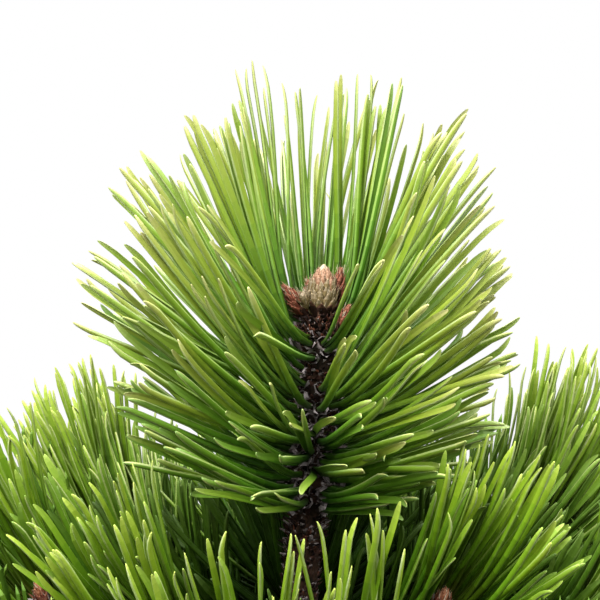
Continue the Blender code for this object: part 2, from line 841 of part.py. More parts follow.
def make_sleeve(finish):
    """The leader's bark sleeve, which its needles stand out of."""
    low, high = TRUNK_TOP - LEADER_FOLIAGE, TRUNK_TOP - SLEEVE_TOP_CLEAR
    heights = np.linspace(low, high, SLEEVE_RINGS)
    centres, radii = trunk_centre(heights), trunk_radius(heights)
    turn = np.arange(SLEEVE_SIDES) * 2 * math.pi / SLEEVE_SIDES
    circle = np.stack([np.cos(turn), np.sin(turn), 0 * turn], axis=1)
    inner_radii = (radii + GAP) / math.cos(math.pi / SLEEVE_SIDES)
    outer = centres[:, None] + circle[None] * (inner_radii + SLEEVE_WALL)[:, None, None]
    inner = centres[:, None] + circle[None] * inner_radii[:, None, None]
    loops = np.concatenate([outer, inner[::-1]]).reshape(-1, 3)
    rows = 2 * SLEEVE_RINGS
    faces = []
    for row in range(rows):
        low_row, high_row = row * SLEEVE_SIDES, ((row + 1) % rows) * SLEEVE_SIDES
        for k in range(SLEEVE_SIDES):
            after = (k + 1) % SLEEVE_SIDES
            faces.append((low_row + k, low_row + after, high_row + after, high_row + k))
    return add_object("leader_needles", loops, faces, finish, False)


def make_leader(crown, bark, green):
    """The sleeve round the trunk's top with the leader's needles fused on."""
    sleeve = make_sleeve(bark)
    first = crown.trunk.length - LEADER_FOLIAGE + SLEEVE_END
    last = crown.trunk.length - SLEEVE_TOP_CLEAR - SLEEVE_END
    tried = TRIES * LEADER_NEEDLES
    share = (np.arange(tried) + 0.5) / tried
    heights = crown.trunk.at(first + (last - first) * share)[:, 2]
    sunk = SLEEVE_SINK_SHARE * SLEEVE_WALL
    lines = needle_lines(
        crown.trunk,
        first,
        last,
        tried,
        LEADER_OPEN,
        seed=1,
        stem_radius=trunk_radius(heights) + GAP + sunk + NEEDLE_SINK,
    )
    stem = crown.trunk
    parts = needle_objects(
        crown, "leader", lines, LEADER_NEEDLES, stem, [stem], [], green
    )
    fuse(sleeve, parts)
    sleeve.data.materials.clear()
    sleeve.data.materials.append(green)
    return sleeve


def make_bough(crown, shoot, bark):
    """One tapering limb from the trunk to its mass."""
    axis = crown.axes[shoot.name]
    centres = axis.part(0.0, crown.bare(shoot), BOUGH_RINGS)
    radii = np.linspace(BOUGH_ROOT_RADIUS, BOUGH_TIP_RADIUS, BOUGH_RINGS)
    points, faces = tube(centres, radii, BOUGH_SIDES)
    tier, number = shoot.name.split("_")
    return add_object(f"{tier}_bough_{number}", points, faces, bark)


def stem_with_bud(axis, start, radius, sides, rings):
    """Points and faces of a stem that ends in its bud."""
    bud_at, bud_radius = bud_radii(TWIG_BUD_RADIUS, TWIG_BUD_LENGTH, TWIG_BUD_RINGS)
    bud_start = axis.length - TWIG_BUD_LENGTH
    stem_at = np.linspace(start, bud_start - EDGE, rings)
    distance = np.concatenate([stem_at, bud_start + bud_at])
    bud_radius = np.maximum(bud_radius, BUD_TIP_RADIUS)
    radii = np.concatenate([np.full(rings, radius), bud_radius])
    return tube(axis.at(distance), radii, sides)


def make_mass(crown, shoot, seed, green):
    """One mass: its stem, its side twigs and their needles, fused."""
    axis = crown.axes[shoot.name]
    start = crown.bare(shoot) + GAP
    tier, number = shoot.name.split("_")
    points, faces = stem_with_bud(axis, start, SHOOT_RADIUS, SHOOT_SIDES, 5)
    mass = add_object(f"{tier}_needles_{number}", points, faces, green, False)
    lines = needle_lines(
        axis,
        start + STEM_NEEDLES_FROM,
        axis.length - TWIG_BUD_LENGTH,
        TRIES * shoot.needles,
        SHOOT_OPEN,
        seed,
        SHOOT_RADIUS,
    )
    placed, most, stems = [], shoot.needles, [axis, *crown.twigs[shoot.name]]
    parts = needle_objects(
        crown, shoot.name, lines, most, axis, stems, placed, green
    )
    for order, twig in enumerate(crown.twigs[shoot.name], 1):
        points, faces = stem_with_bud(twig, 0.0, TWIG_RADIUS, TWIG_SIDES, 3)
        parts.append(add_object(f"{shoot.name}_twig_{order}", points, faces, green))
        lines = needle_lines(
            twig,
            twig.length * TWIG_NEEDLES_FROM,
            twig.length - TWIG_BUD_LENGTH,
            TRIES * shoot.twig_needles,
            SHOOT_OPEN,
            seed + 100 * order,
            TWIG_RADIUS,
        )
        most = shoot.twig_needles
        parts += needle_objects(
            crown, shoot.name, lines, most, twig, stems, placed, green
        )
    fuse(mass, parts)
    return mass


def main():
    """Builds the pot, the soil and the plant."""
    for obj in list(bpy.data.objects):
        bpy.data.objects.remove(obj)
    plastic = material("pot_plastic", (0.045, 0.045, 0.048), 0.55)
    peat = material("potting_soil", (0.060, 0.038, 0.024), 0.95)
    bark = material("bark", (0.085, 0.055, 0.040), 0.85)
    scales = material("bud_scales", (0.330, 0.190, 0.105), 0.70)
    green = material("needle_green", (0.130, 0.270, 0.040), 0.45)

    rng = np.random.default_rng(TIER_SEED)
    shoots = upper_tier()
    shoots += ruled_tier(
        "middle",
        MIDDLE_START,
        MIDDLE_REACH,
        MIDDLE_HEIGHT,
        MIDDLE_ROOT,
        MIDDLE_TILT,
        rng,
    )
    shoots += ruled_tier(
        "lowest",
        LOWEST_START,
        LOWEST_REACH,
        LOWEST_HEIGHT,
        LOWEST_ROOT,
        LOWEST_TILT,
        rng,
    )
    crown = Crown(shoots)

    make_pot(plastic)
    make_soil(peat)
    make_trunk(bark)
    make_leader_bud(scales)
    make_leader(crown, bark, green)
    for number, shoot in enumerate(shoots, 2):
        make_bough(crown, shoot, bark)
        make_mass(crown, shoot, number, green)


main()
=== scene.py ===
"""Dresses the potted compact Bosnian pine: needles in pairs, scaly buds, bark, pot and soil.

Metres, +Z up, the origin in the middle of the pot's underside. The plant grows here by
the rule that its solids follow, carried on to more needles and finer twigs.
"""

import logging
import math
from collections.abc import Sequence
from dataclasses import dataclass, field, replace
from enum import Enum

import bmesh
import bpy
import numpy as np
from mathutils import Matrix, Vector

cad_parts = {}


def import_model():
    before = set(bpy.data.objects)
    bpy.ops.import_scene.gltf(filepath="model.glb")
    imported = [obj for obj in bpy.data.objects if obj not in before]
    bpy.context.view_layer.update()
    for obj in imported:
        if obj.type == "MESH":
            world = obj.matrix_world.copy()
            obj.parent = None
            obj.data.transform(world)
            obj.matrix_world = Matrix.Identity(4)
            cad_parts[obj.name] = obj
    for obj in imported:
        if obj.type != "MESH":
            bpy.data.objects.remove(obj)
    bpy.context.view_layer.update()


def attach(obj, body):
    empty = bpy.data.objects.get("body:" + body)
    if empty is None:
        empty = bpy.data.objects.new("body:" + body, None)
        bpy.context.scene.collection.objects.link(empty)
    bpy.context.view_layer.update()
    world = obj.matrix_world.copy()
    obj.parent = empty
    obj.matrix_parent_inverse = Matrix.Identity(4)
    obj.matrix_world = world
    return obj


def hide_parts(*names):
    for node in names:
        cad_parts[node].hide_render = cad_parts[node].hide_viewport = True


LOG = logging.getLogger("pine")
Array = np.ndarray
ByCorners = dict[int, list[Array]]
Colour = tuple[float, float, float]
Limits = tuple[tuple[float, float], tuple[float, float]]
Material = bpy.types.Material
Node = bpy.types.Node
Piece = bpy.types.Object

GOLDEN_ANGLE = math.pi * (3.0 - math.sqrt(5.0))
UP = np.array([0.0, 0.0, 1.0])
# Points nearer than this are one point.
MERGE = 1e-6
# The photograph looks along +Y from this place, and down by this many degrees.
VIEWPOINT = np.array([-0.0053, -0.4418, 0.4298])
LOOK_DOWN = 12.0
PICTURE_UP = np.array([0.0, math.sin(math.radians(LOOK_DOWN)), math.cos(math.radians(LOOK_DOWN))])
TO_VIEWER = np.array([0.0, -PICTURE_UP[2], PICTURE_UP[1]])
# A curve is this many points, and its tangent is taken over this share of its length.
CURVE_POINTS = 40
TANGENT_REACH = 0.02
# How deep a pair's foot sits in the bark.
SUNK = 0.0006
# In the buds' finishes a scale's fringe comes this far after its middle, and the thread last.
FRINGE_OFFSET = 6
THREAD = 12


class Slot(Enum):
    """The record's material slots."""

    PLASTIC = "pot_plastic"
    SOIL = "potting_soil"
    BARK = "bark"
    SCALES = "bud_scales"
    NEEDLES = "needle_green"


class Tier(Enum):
    """The three rings of shoots under the leader."""

    UPPER = "upper"
    MIDDLE = "middle"
    LOWEST = "lowest"


def unit(vectors: Array) -> Array:
    """Vectors scaled to a length of one."""
    return vectors / np.linalg.norm(vectors, axis=-1, keepdims=True)


def bezier(first: Array, second: Array, third: Array, last: Array) -> Array:
    """A cubic curve: each control point times its Bernstein weight, summed."""
    t = np.linspace(0.0, 1.0, CURVE_POINTS)[:, None]
    return (1 - t) ** 3 * first + 3 * (1 - t) ** 2 * t * second + 3 * (1 - t) * t**2 * third + t**3 * last


def across_and_over(tangents: Array) -> tuple[Array, Array]:
    """Two unit vectors at right angles to each tangent and to each other."""
    steep = np.abs(tangents[..., 2:3]) > 0.95
    guide = np.where(steep, np.array([0.0, 1.0, 0.0]), UP)
    across = unit(np.cross(guide, tangents))
    return across, np.cross(tangents, across)


def turns(count: int) -> Array:
    """Angles evenly spaced round a circle, in radians."""
    return np.arange(count) * math.tau / count


def level(turn: Array) -> Array:
    """Level unit vectors at these angles from +X."""
    return np.stack([np.cos(turn), np.sin(turn), np.zeros_like(turn)], axis=-1)


def around(across: Array, over: Array, turn: Array) -> Array:
    """Vectors turned from the first direction to the second: its cosine and the other's sine."""
    return across * np.cos(turn)[..., None] + over * np.sin(turn)[..., None]


def draws(rng: np.random.Generator, count: int, limits: Limits) -> tuple[Array, ...]:
    """Uniform draws, one array for each pair of limits, in their order."""
    return tuple(rng.uniform(low, high, count) for low, high in limits)


def ripples(u: Array, v: Array, seed: int, waves: int = 24) -> Array:
    """Smooth noise between about -1 and 1: the sum of sine waves in seeded directions.

    Args:
        u: First coordinate, in waves.
        v: Second coordinate, in waves.
        seed: Which noise it is.
        waves: How many sine waves are summed.

    Returns:
        The noise, in the shape of u and v together.
    """
    rng = np.random.default_rng(seed)
    turn, shift = rng.uniform(0, math.tau, (2, waves))
    pitch = rng.uniform(0.5, 1.6, waves) * math.tau
    total = np.zeros(np.broadcast(u, v).shape)
    for k in range(waves):
        total += np.sin(pitch[k] * (u * math.cos(turn[k]) + v * math.sin(turn[k])) + shift[k])
    return total / math.sqrt(waves)


def nearest(points: Array, others: Array) -> Array:
    """The distance from each point to the nearest of the others."""
    flat = points.reshape(-1, 3)
    found = np.full(len(flat), np.inf)
    for part in np.array_split(others, max(1, len(others) // 100)):
        gap = ((flat[:, None] - part[None]) ** 2).sum(axis=2).min(axis=1)
        found = np.minimum(found, gap)
    return np.sqrt(found).reshape(points.shape[:-1])


class Axis:
    """A limb's centreline, read by the distance along it."""

    def __init__(self, points: Array) -> None:
        """Keeps the points and the distance along to each."""
        self.points = np.asarray(points, float)
        steps = np.linalg.norm(np.diff(self.points, axis=0), axis=1)
        self.along = np.concatenate([[0.0], np.cumsum(steps)])
        self.length = float(self.along[-1])

    def at(self, distance: Array | float) -> Array:
        """The points at these distances from the start."""
        distance = np.atleast_1d(distance)
        return np.stack([np.interp(distance, self.along, self.points[:, k]) for k in range(3)], axis=1)

    def tangent(self, distance: Array | float) -> Array:
        """Unit directions at these distances, looking towards the tip."""
        reach = self.length * TANGENT_REACH
        low = np.clip(np.atleast_1d(distance) - reach, 0.0, self.length - reach)
        return unit(self.at(low + reach) - self.at(low))


def by_corners() -> ByCorners:
    """An empty list for triangles and one for quads."""
    return {3: [], 4: []}


@dataclass
class Batch:
    """Small shapes gathered as arrays, to be joined into one piece."""

    points: list[Array] = field(default_factory=list)
    faces: ByCorners = field(default_factory=by_corners)
    slots: ByCorners = field(default_factory=by_corners)
    flats: ByCorners = field(default_factory=by_corners)
    uvs: ByCorners = field(default_factory=by_corners)
    count: int = 0

    def add_points(self, points: Array) -> int:
        """Adds points, and returns the number of the first."""
        first = self.count
        self.points.append(points.reshape(-1, 3))
        self.count += self.points[-1].shape[0]
        return first

    def add_faces(self, faces: Array, slots: Array | int, uvs: Array, flat: Array | bool = False) -> None:
        """Adds faces with 3 or 4 corners.

        Args:
            faces: Point numbers, one row a face.
            slots: The finish of each face, or of all of them.
            uvs: Two numbers for each corner of each face.
            flat: Which faces are shaded flat.
        """
        corners = faces.shape[1]
        self.faces[corners].append(faces)
        self.slots[corners].append(np.broadcast_to(slots, len(faces)))
        self.flats[corners].append(np.broadcast_to(flat, len(faces)))
        self.uvs[corners].append(uvs.reshape(-1, corners, 2))

    def add_tubes(self, points: Array, slots: Array | int, flat: Array | bool = False) -> None:
        """Adds many like tubes: grids whose last column joins the first.

        The UV map runs round each tube and along it, both ways from 0 to 1.

        Args:
            points: An array of tube by row by column by 3.
            slots: Finishes, one for each tube, row and column of faces, or one for all.
            flat: Which faces are shaded flat, in the shape of slots.
        """
        tubes, rows, columns = points.shape[:3]
        here = self.add_points(points) + np.arange(tubes * rows * columns).reshape(tubes, rows, columns)
        after = np.roll(here, -1, axis=2)
        quads = np.stack([here[:, :-1], after[:, :-1], after[:, 1:], here[:, 1:]], axis=-1)
        u = np.arange(columns) / columns
        v = np.arange(rows - 1) / (rows - 1)
        low = np.stack(np.broadcast_arrays(u[None, :], v[:, None]), axis=-1)
        du, dv = np.array([1 / columns, 0.0]), np.array([0.0, 1 / (rows - 1)])
        uv = np.stack([low, low + du, low + du + dv, low + dv], axis=2)
        shape = quads.shape[:3]
        self.add_faces(
            quads.reshape(-1, 4),
            np.broadcast_to(slots, shape).reshape(-1),
            np.broadcast_to(uv, (tubes, *uv.shape)).reshape(-1, 4, 2),
            np.broadcast_to(flat, shape).reshape(-1),
        )

    def add_fans(self, rings: Array, tips: Array, slots: Array | int, reverse: bool = False) -> None:
        """Closes rings with a fan of triangles to one point each.

        Args:
            rings: An array of shape by column by 3.
            tips: One point a shape.
            slots: One finish for each shape, or one for all.
            reverse: Whether the fan closes the start of a tube and not its end.
        """
        shapes, columns = rings.shape[:2]
        first = self.add_points(np.concatenate([rings, tips[:, None]], axis=1))
        index = first + np.arange(shapes * (columns + 1)).reshape(shapes, columns + 1)
        here, after = index[:, :columns], np.roll(index[:, :columns], -1, axis=1)
        tip = np.broadcast_to(index[:, columns:], here.shape)
        order = [after, here, tip] if reverse else [here, after, tip]
        tris = np.stack(order, axis=-1).reshape(-1, 3)
        chosen = np.broadcast_to(np.asarray(slots).reshape(-1, 1), here.shape).reshape(-1)
        self.add_faces(tris, chosen, np.ones((len(tris), 3, 2)))

    def add_closed_tube(self, rows: Array, start: Array, end: Array) -> None:
        """Adds one tube from its rows of points, each end closed by a fan to a point."""
        self.add_tubes(rows[None], 0)
        self.add_fans(rows[-1:], end[None], 0)
        self.add_fans(rows[:1], start[None], 0, reverse=True)

    def triangles(self) -> int:
        """How many triangles the faces make."""
        return sum(len(part) * (corners - 2) for corners, kept in self.faces.items() for part in kept)

    def piece(self, name: str, finishes: Sequence[Material], weld: bool = False) -> Piece:
        """Joins everything into one object at the origin.

        Args:
            name: The piece's name.
            finishes: Its materials, by slot number.
            weld: Whether points that lie together become one.

        Returns:
            The new object.
        """
        loops, slots, flats, uvs = (
            np.concatenate([part.reshape(-1) for kept in kind.values() for part in kept])
            for kind in (self.faces, self.slots, self.flats, self.uvs)
        )
        sizes = [np.full(len(part), corners) for corners, kept in self.faces.items() for part in kept]
        sizes = np.concatenate(sizes)
        mesh = bpy.data.meshes.new(name)
        mesh.vertices.add(self.count)
        mesh.vertices.foreach_set("co", np.concatenate(self.points).reshape(-1))
        mesh.loops.add(len(loops))
        mesh.loops.foreach_set("vertex_index", loops)
        mesh.polygons.add(len(sizes))
        mesh.polygons.foreach_set("loop_start", np.cumsum(sizes) - sizes)
        mesh.polygons.foreach_set("material_index", slots.astype(np.int32))
        mesh.polygons.foreach_set("use_smooth", ~flats)
        mesh.uv_layers.new(name="surface").uv.foreach_set("vector", uvs.astype(np.float32))
        for finish in finishes:
            mesh.materials.append(finish)
        mesh.update(calc_edges=True)
        mesh.validate()
        piece = bpy.data.objects.new(name, mesh)
        bpy.context.scene.collection.objects.link(piece)
        if weld:
            weld_points(mesh)
        return piece


def weld_points(mesh: bpy.types.Mesh) -> None:
    """Makes points one that lie together."""
    shape = bmesh.new()
    shape.from_mesh(mesh)
    bmesh.ops.remove_doubles(shape, verts=shape.verts, dist=MERGE)
    shape.to_mesh(mesh)
    shape.free()


class Nodes:
    """A material's node tree with short ways to add to it."""

    def __init__(self, name: str) -> None:
        """Starts a material with one Principled shader."""
        self.material = bpy.data.materials.new(name)
        self.material.use_nodes = True
        self.tree = self.material.node_tree
        self.shader = self.tree.nodes["Principled BSDF"]

    def add(self, kind: str, **inputs: object) -> Node:
        """Adds a node and sets its inputs, an underscore in a name read as a space."""
        made = self.tree.nodes.new(kind)
        for name, value in inputs.items():
            made.inputs[name.replace("_", " ")].default_value = value
        return made

    def link(self, source: Node, output: str, target: Node, into: str) -> None:
        """Links an output to an input."""
        self.tree.links.new(source.outputs[output], target.inputs[into])

    def set(self, **inputs: object) -> None:
        """Sets the shader's own inputs."""
        for name, value in inputs.items():
            self.shader.inputs[name.replace("_", " ")].default_value = value

    def noise(
        self,
        stretch: tuple[float, float, float],
        scale: float,
        detail: float,
        roughness: float = 0.55,
        output: str = "Object",
    ) -> Node:
        """Noise over coordinates stretched by these factors.

        Args:
            stretch: The factor for each coordinate.
            scale: The noise's scale.
            detail: How many finer layers it has.
            roughness: How strong they are.
            output: Which coordinates it reads.

        Returns:
            The noise node.
        """
        mapping = self.add("ShaderNodeMapping", Scale=stretch)
        self.link(self.add("ShaderNodeTexCoord"), output, mapping, "Vector")
        made = self.add("ShaderNodeTexNoise", Scale=scale, Detail=detail, Roughness=roughness)
        self.link(mapping, "Vector", made, "Vector")
        return made

    def colour(self, source: Node, *stops: tuple[float, Colour], output: str = "Fac") -> None:
        """Colours the shader by a ramp over a value, from (place, colour) stops."""
        made = self.add("ShaderNodeValToRGB")
        keys = made.color_ramp.elements
        while len(keys) < len(stops):
            keys.new(0.5)
        for key, (place, colour) in zip(keys, stops):
            key.position = place
            key.color = (*colour, 1.0)
        self.link(source, output, made, "Fac")
        self.link(made, "Color", self.shader, "Base Color")

    def gloss(self, source: Node, low: float, high: float) -> None:
        """Carries a value between 0 and 1 over to a roughness between low and high."""
        made = self.add("ShaderNodeMapRange", To_Min=low, To_Max=high)
        self.link(source, "Fac", made, "Value")
        self.link(made, "Result", self.shader, "Roughness")

    def bump(self, source: Node, strength: float, distance: float) -> None:
        """Gives the shader bump from a height."""
        made = self.add("ShaderNodeBump", Strength=strength, Distance=distance)
        self.link(source, "Fac", made, "Height")
        self.link(made, "Normal", self.shader, "Normal")


@dataclass(frozen=True)
class NeedleFinish:
    """One plain green of a needle with its fine lengthwise lines and waxy gloss."""

    name: str
    green: Colour
    sheen: float
    roughness: float

    def make(self) -> Material:
        """The material: lines run along the needle on its own UV map."""
        nodes = Nodes(self.name)
        nodes.set(Base_Color=(*self.green, 1.0), Specular_IOR_Level=self.sheen)
        lines = nodes.noise((5.0, 1.2, 1.0), 1.0, 1.0, output="UV")
        nodes.gloss(lines, self.roughness - 0.06, self.roughness + 0.10)
        nodes.bump(lines, 0.22, 0.00009)
        return nodes.material


@dataclass(frozen=True)
class PaperFinish:
    """Dry papery scales and sheaths: a plain colour with darker and paler fibres along them."""

    name: str
    plain: Colour
    roughness: float = 0.78
    shade: float = 0.45
    glow: float = 1.6

    def make(self) -> Material:
        """The material: fibres run along each scale on its own UV map."""
        nodes = Nodes(self.name)
        nodes.set(Specular_IOR_Level=0.06)
        fibres = nodes.noise((9.0, 1.3, 1.0), 1.0, 3.0, output="UV")
        dark, pale = (tuple(c * factor for c in self.plain) for factor in (self.shade, self.glow))
        nodes.colour(fibres, (0.34, dark), (0.66, pale))
        nodes.gloss(fibres, self.roughness - 0.1, self.roughness + 0.12)
        nodes.bump(fibres, 0.5, 0.0003)
        return nodes.material


def papers(**colours: Colour) -> list[Material]:
    """A papery finish for each name and colour."""
    return [PaperFinish(name, colour).make() for name, colour in colours.items()]


@dataclass(frozen=True)
class BarkFinish:
    """Dark young bark with grey papery flecks and red-brown patches."""

    name: str = "bark_young"
    deep: Colour = (0.0050, 0.0036, 0.0024)
    brown: Colour = (0.0130, 0.0080, 0.0048)
    warm: Colour = (0.0260, 0.0125, 0.0066)
    grey: Colour = (0.0420, 0.0330, 0.0300)
    share_of_large: float = 0.45

    def make(self) -> Material:
        """The material: a ramp over fine noise, broken by a larger noise."""
        nodes = Nodes(self.name)
        nodes.set(Specular_IOR_Level=0.08)
        upright = (1.0, 1.0, 0.55)
        fine = nodes.noise(upright, 620.0, 5.0, 0.62)
        large = nodes.noise(upright, 150.0, 3.0)
        mixed = nodes.add("ShaderNodeMix")
        mixed.data_type = "FLOAT"
        mixed.inputs[0].default_value = self.share_of_large
        nodes.tree.links.new(fine.outputs["Fac"], mixed.inputs[2])
        nodes.tree.links.new(large.outputs["Fac"], mixed.inputs[3])
        stops = ((0.36, self.deep), (0.47, self.brown), (0.56, self.warm), (0.66, self.grey))
        nodes.colour(mixed, *stops, output="Result")
        nodes.gloss(fine, 0.82, 1.0)
        nodes.bump(fine, 0.8, 0.0006)
        return nodes.material


@dataclass(frozen=True)
class PlasticFinish:
    """Matt black moulded plastic with a fine grain, faint streaks and dust."""

    name: str = "pot_plastic_moulded"
    black: Colour = (0.0075, 0.0075, 0.0082)
    dusty: Colour = (0.0150, 0.0142, 0.0130)

    def make(self) -> Material:
        """The material: dust over a large noise, upright streaks in the gloss, grain as bump."""
        nodes = Nodes(self.name)
        nodes.set(Specular_IOR_Level=0.16)
        nodes.colour(nodes.noise((1.0, 1.0, 1.0), 95.0, 9.0, 0.72), (0.40, self.black), (0.78, self.dusty))
        nodes.gloss(nodes.noise((60.0, 60.0, 4.0), 1.0, 3.0), 0.40, 0.58)
        nodes.bump(nodes.noise((1.0, 1.0, 1.0), 1500.0, 2.0), 0.25, 0.0002)
        return nodes.material


@dataclass(frozen=True)
class SoilFinish:
    """Moist crumbly potting mix."""

    name: str = "potting_mix"
    dark: Colour = (0.010, 0.006, 0.004)
    mid: Colour = (0.040, 0.024, 0.015)
    light: Colour = (0.110, 0.072, 0.045)

    def make(self) -> Material:
        """The material: crumbs of three browns with strong bump."""
        nodes = Nodes(self.name)
        crumbs = nodes.noise((1.0, 1.0, 1.0), 260.0, 8.0, 0.68)
        nodes.colour(crumbs, (0.38, self.dark), (0.52, self.mid), (0.70, self.light))
        nodes.gloss(crumbs, 0.80, 1.0)
        nodes.bump(crumbs, 0.9, 0.0014)
        return nodes.material


@dataclass(frozen=True)
class Shoot:
    """One bough and its shoot: its bud's azimuth, reach and height over the soil."""

    name: str
    tier: Tier
    azimuth: float
    reach: float
    height: float
    root: float
    tilt: float
    foliage: float
    twigs: int
    needle: float
    pairs: int
    opening: float = 76.0


@dataclass(frozen=True)
class Trunk:
    """The trunk's line and thickness, as its solid has them."""

    soil_level: float = 0.128
    height: float = 0.203
    foot_radius: float = 0.0078
    top_radius: float = 0.0032
    taper_power: float = 1.3
    flare: float = 0.0052
    flare_height: float = 0.009
    sway: float = 0.006
    sway_back: float = 0.4
    leader_foliage: float = 0.052
    sleeve: float = 0.0017
    sleeve_below: float = 0.004
    sleeve_above: float = 0.001
    sleeve_fades: tuple[float, float] = (0.008, 0.006)

    @property
    def top(self) -> float:
        """The height of the terminal bud's foot."""
        return self.soil_level + self.height

    def centre(self, height: Array | float) -> Array:
        """The centre at a height: the sway times the squared sine of the share climbed."""
        share = np.clip((np.asarray(height) - self.soil_level) / self.height, 0, 1)
        bow = self.sway * np.sin(math.pi * share) ** 2
        return np.stack([-bow, self.sway_back * bow, np.broadcast_to(height, bow.shape)], axis=-1)

    def radius(self, height: Array | float) -> Array:
        """The radius at a height: a power taper and a flare that dies away upwards."""
        above = np.asarray(height) - self.soil_level
        share = np.clip(1.0 - above / self.height, 0.0, 1.0)
        taper = self.top_radius + (self.foot_radius - self.top_radius) * share**self.taper_power
        return taper + self.flare * np.exp(-above / self.flare_height)

    def bark_radius(self, height: Array | float) -> Array:
        """The radius with the leader's thicker young bark, which fades in and out at its ends."""
        height = np.asarray(height)
        into = (height - (self.top - self.leader_foliage - self.sleeve_below)) / self.sleeve_fades[0]
        out = (self.top + self.sleeve_above - height) / self.sleeve_fades[1]
        return self.radius(height) + self.sleeve * np.clip(into, 0, 1) * np.clip(out, 0, 1)

    def axis(self) -> Axis:
        """The trunk's centreline."""
        return Axis(self.centre(np.linspace(self.soil_level, self.top, 60)))


@dataclass(frozen=True)
class NeedleRule:
    """How needles stand on a stem: the solids' rule, with the sheath's sharp first bend."""

    length: float = 0.070
    shortest: float = 0.86
    foot_length: float = 0.80
    full_from: float = 0.55
    opening: tuple[float, float] = (76.0, 16.0)
    widest: float = 104.0
    power: float = 1.2
    spread: float = 8.0
    flare: float = 30.0
    flare_fade: float = 0.12
    arch: float = -2.0
    arch_spread: float = 16.0
    sway: float = 12.0
    lift: float = 0.22
    left_reach: float = 0.0
    crowding: float = 0.9
    samples: int = 33

    def shares(self, count: int) -> Array:
        """How far up the foliage each pair stands: closer together towards the top."""
        return ((np.arange(count) + 0.5) / count) ** self.crowding

    def lines(
        self,
        axis: Axis,
        distance: Array,
        turn: Array,
        share: Array,
        stem_radius: Array | float,
        rng: np.random.Generator,
    ) -> Array:
        """The pairs' centrelines.

        Each leaves the stem at an angle that closes from the foot to the top, is wider
        for the first tenth of its length, arches in or out and lifts to the light. The
        line is the running sum of its headings.

        Args:
            axis: The stem's centreline.
            distance: Where on the stem each stands.
            turn: Its angle round the stem, in radians.
            share: How far up the foliage it stands, from 0 to 1.
            stem_radius: The stem's radius there.
            rng: The seeded source of the jitter.

        Returns:
            An array of pairs by samples by 3.
        """
        count = len(distance)
        tangent = axis.tangent(distance)
        radial = around(*across_and_over(tangent), turn)
        opened = self.opening[0] + (self.opening[1] - self.opening[0]) * share**self.power
        opened = opened + self.spread * rng.uniform(-1, 1, count)
        arch = self.arch + self.arch_spread * rng.uniform(-1, 1, count)
        grown = self.foot_length + (1 - self.foot_length) * np.clip(share / self.full_from, 0, 1)
        length = self.length * grown * rng.uniform(self.shortest, 1.0, count)
        # Needles on the left are longer, and near the very top those on the right are.
        leftward = self.left_reach * np.clip(3.5 - 4.0 * share, -0.5, 1.0)
        length = length * (1.0 - leftward * radial[:, 0])
        along = np.linspace(0.0, 1.0, self.samples)[None, :]
        room = np.clip((self.widest - opened) / self.flare, 0.0, 1.0)[:, None]
        flare = self.flare * room * np.exp(-along / self.flare_fade)
        angle = np.radians(opened[:, None] + flare - arch[:, None] * along)
        heading = around(tangent[:, None], radial[:, None], angle)
        bent = np.radians(self.sway * rng.uniform(-1, 1, count))[:, None] * along
        heading = heading + bent[..., None] * np.cross(tangent, radial)[:, None]
        heading[..., 2] += self.lift * along
        heading = unit(heading)
        step = (length / (self.samples - 1))[:, None, None]
        moved = np.cumsum((heading[:, 1:] + heading[:, :-1]) / 2 * step, axis=1)
        start = axis.at(distance) + radial * (np.broadcast_to(stem_radius, count)[:, None] - SUNK)
        return np.concatenate([start[:, None], start[:, None] + moved], axis=1)


@dataclass(frozen=True)
class NeedleShape:
    """One needle of a pair: a half-round section carried along its line to a blunt point."""

    half_width: float = 0.00094
    stations: tuple[float, ...] = (
        0.0, 0.06, 0.16, 0.27, 0.37, 0.47, 0.57, 0.67, 0.77, 0.86, 0.92, 0.957, 0.980, 0.994,
    )
    section: tuple[tuple[float, float], ...] = (
        (-1.0, 0.0),
        (-0.74, 0.60),
        (0.0, 0.92),
        (0.74, 0.60),
        (1.0, 0.0),
        (0.0, 0.16),
    )
    flat_from: int = 4
    margins: tuple[int, ...] = (0, 3)
    zone_ends: tuple[float, ...] = (0.16, 0.27, 0.37, 0.47, 0.57, 0.67, 0.77, 0.86, 0.92, 0.957, 0.980)
    bow: float = 0.0018
    hook: float = 0.0009
    hooked_from: float = 0.88
    hook_spread: float = 0.8
    shortest: float = 0.965
    twist: float = 0.9
    foot_gap: float = 0.00012
    parting: tuple[float, float] = (0.0008, 0.0032)
    parting_power: float = 1.4
    tint_jitter: float = 0.8
    sheath_sides: int = 7
    sheath_length: tuple[float, float] = (0.0022, 0.0042)
    sheath_rows: tuple[float, ...] = (-0.25, 0.25, 0.75, 1.0)
    sheath_radii: tuple[float, ...] = (0.00160, 0.00164, 0.00168, 0.00196)
    sheath_rim: tuple[float, float] = (-0.80, 0.60)
    sheath_dents: float = 0.24

    def swell(self) -> Array:
        """The section's size at each station: full, then rounded off to a blunt tip."""
        places = (0.0, 0.08, 0.80, 0.92, 0.957, 0.980, 0.994)
        sizes = (0.72, 1.0, 0.98, 0.86, 0.73, 0.56, 0.33)
        return np.interp(self.stations, places, sizes)

    def stray(self, share: Array) -> tuple[Array, Array]:
        """How far a line bows, by the square of the share, and how far its tip hooks over."""
        late = np.clip((share - self.hooked_from) / (1.0 - self.hooked_from), 0.0, 1.0)
        return self.bow * share**2, self.hook * late**2

    def zones(self) -> Array:
        """Which zone of colour each row of faces is in, from the foot to the tip."""
        at = np.array(self.stations)
        return np.searchsorted(self.zone_ends, (at[1:] + at[:-1]) / 2)

    def zone_middles(self) -> Array:
        """The share of the length in the middle of each zone."""
        ends = np.array([0.0, *self.zone_ends, 1.0])
        return (ends[1:] + ends[:-1]) / 2


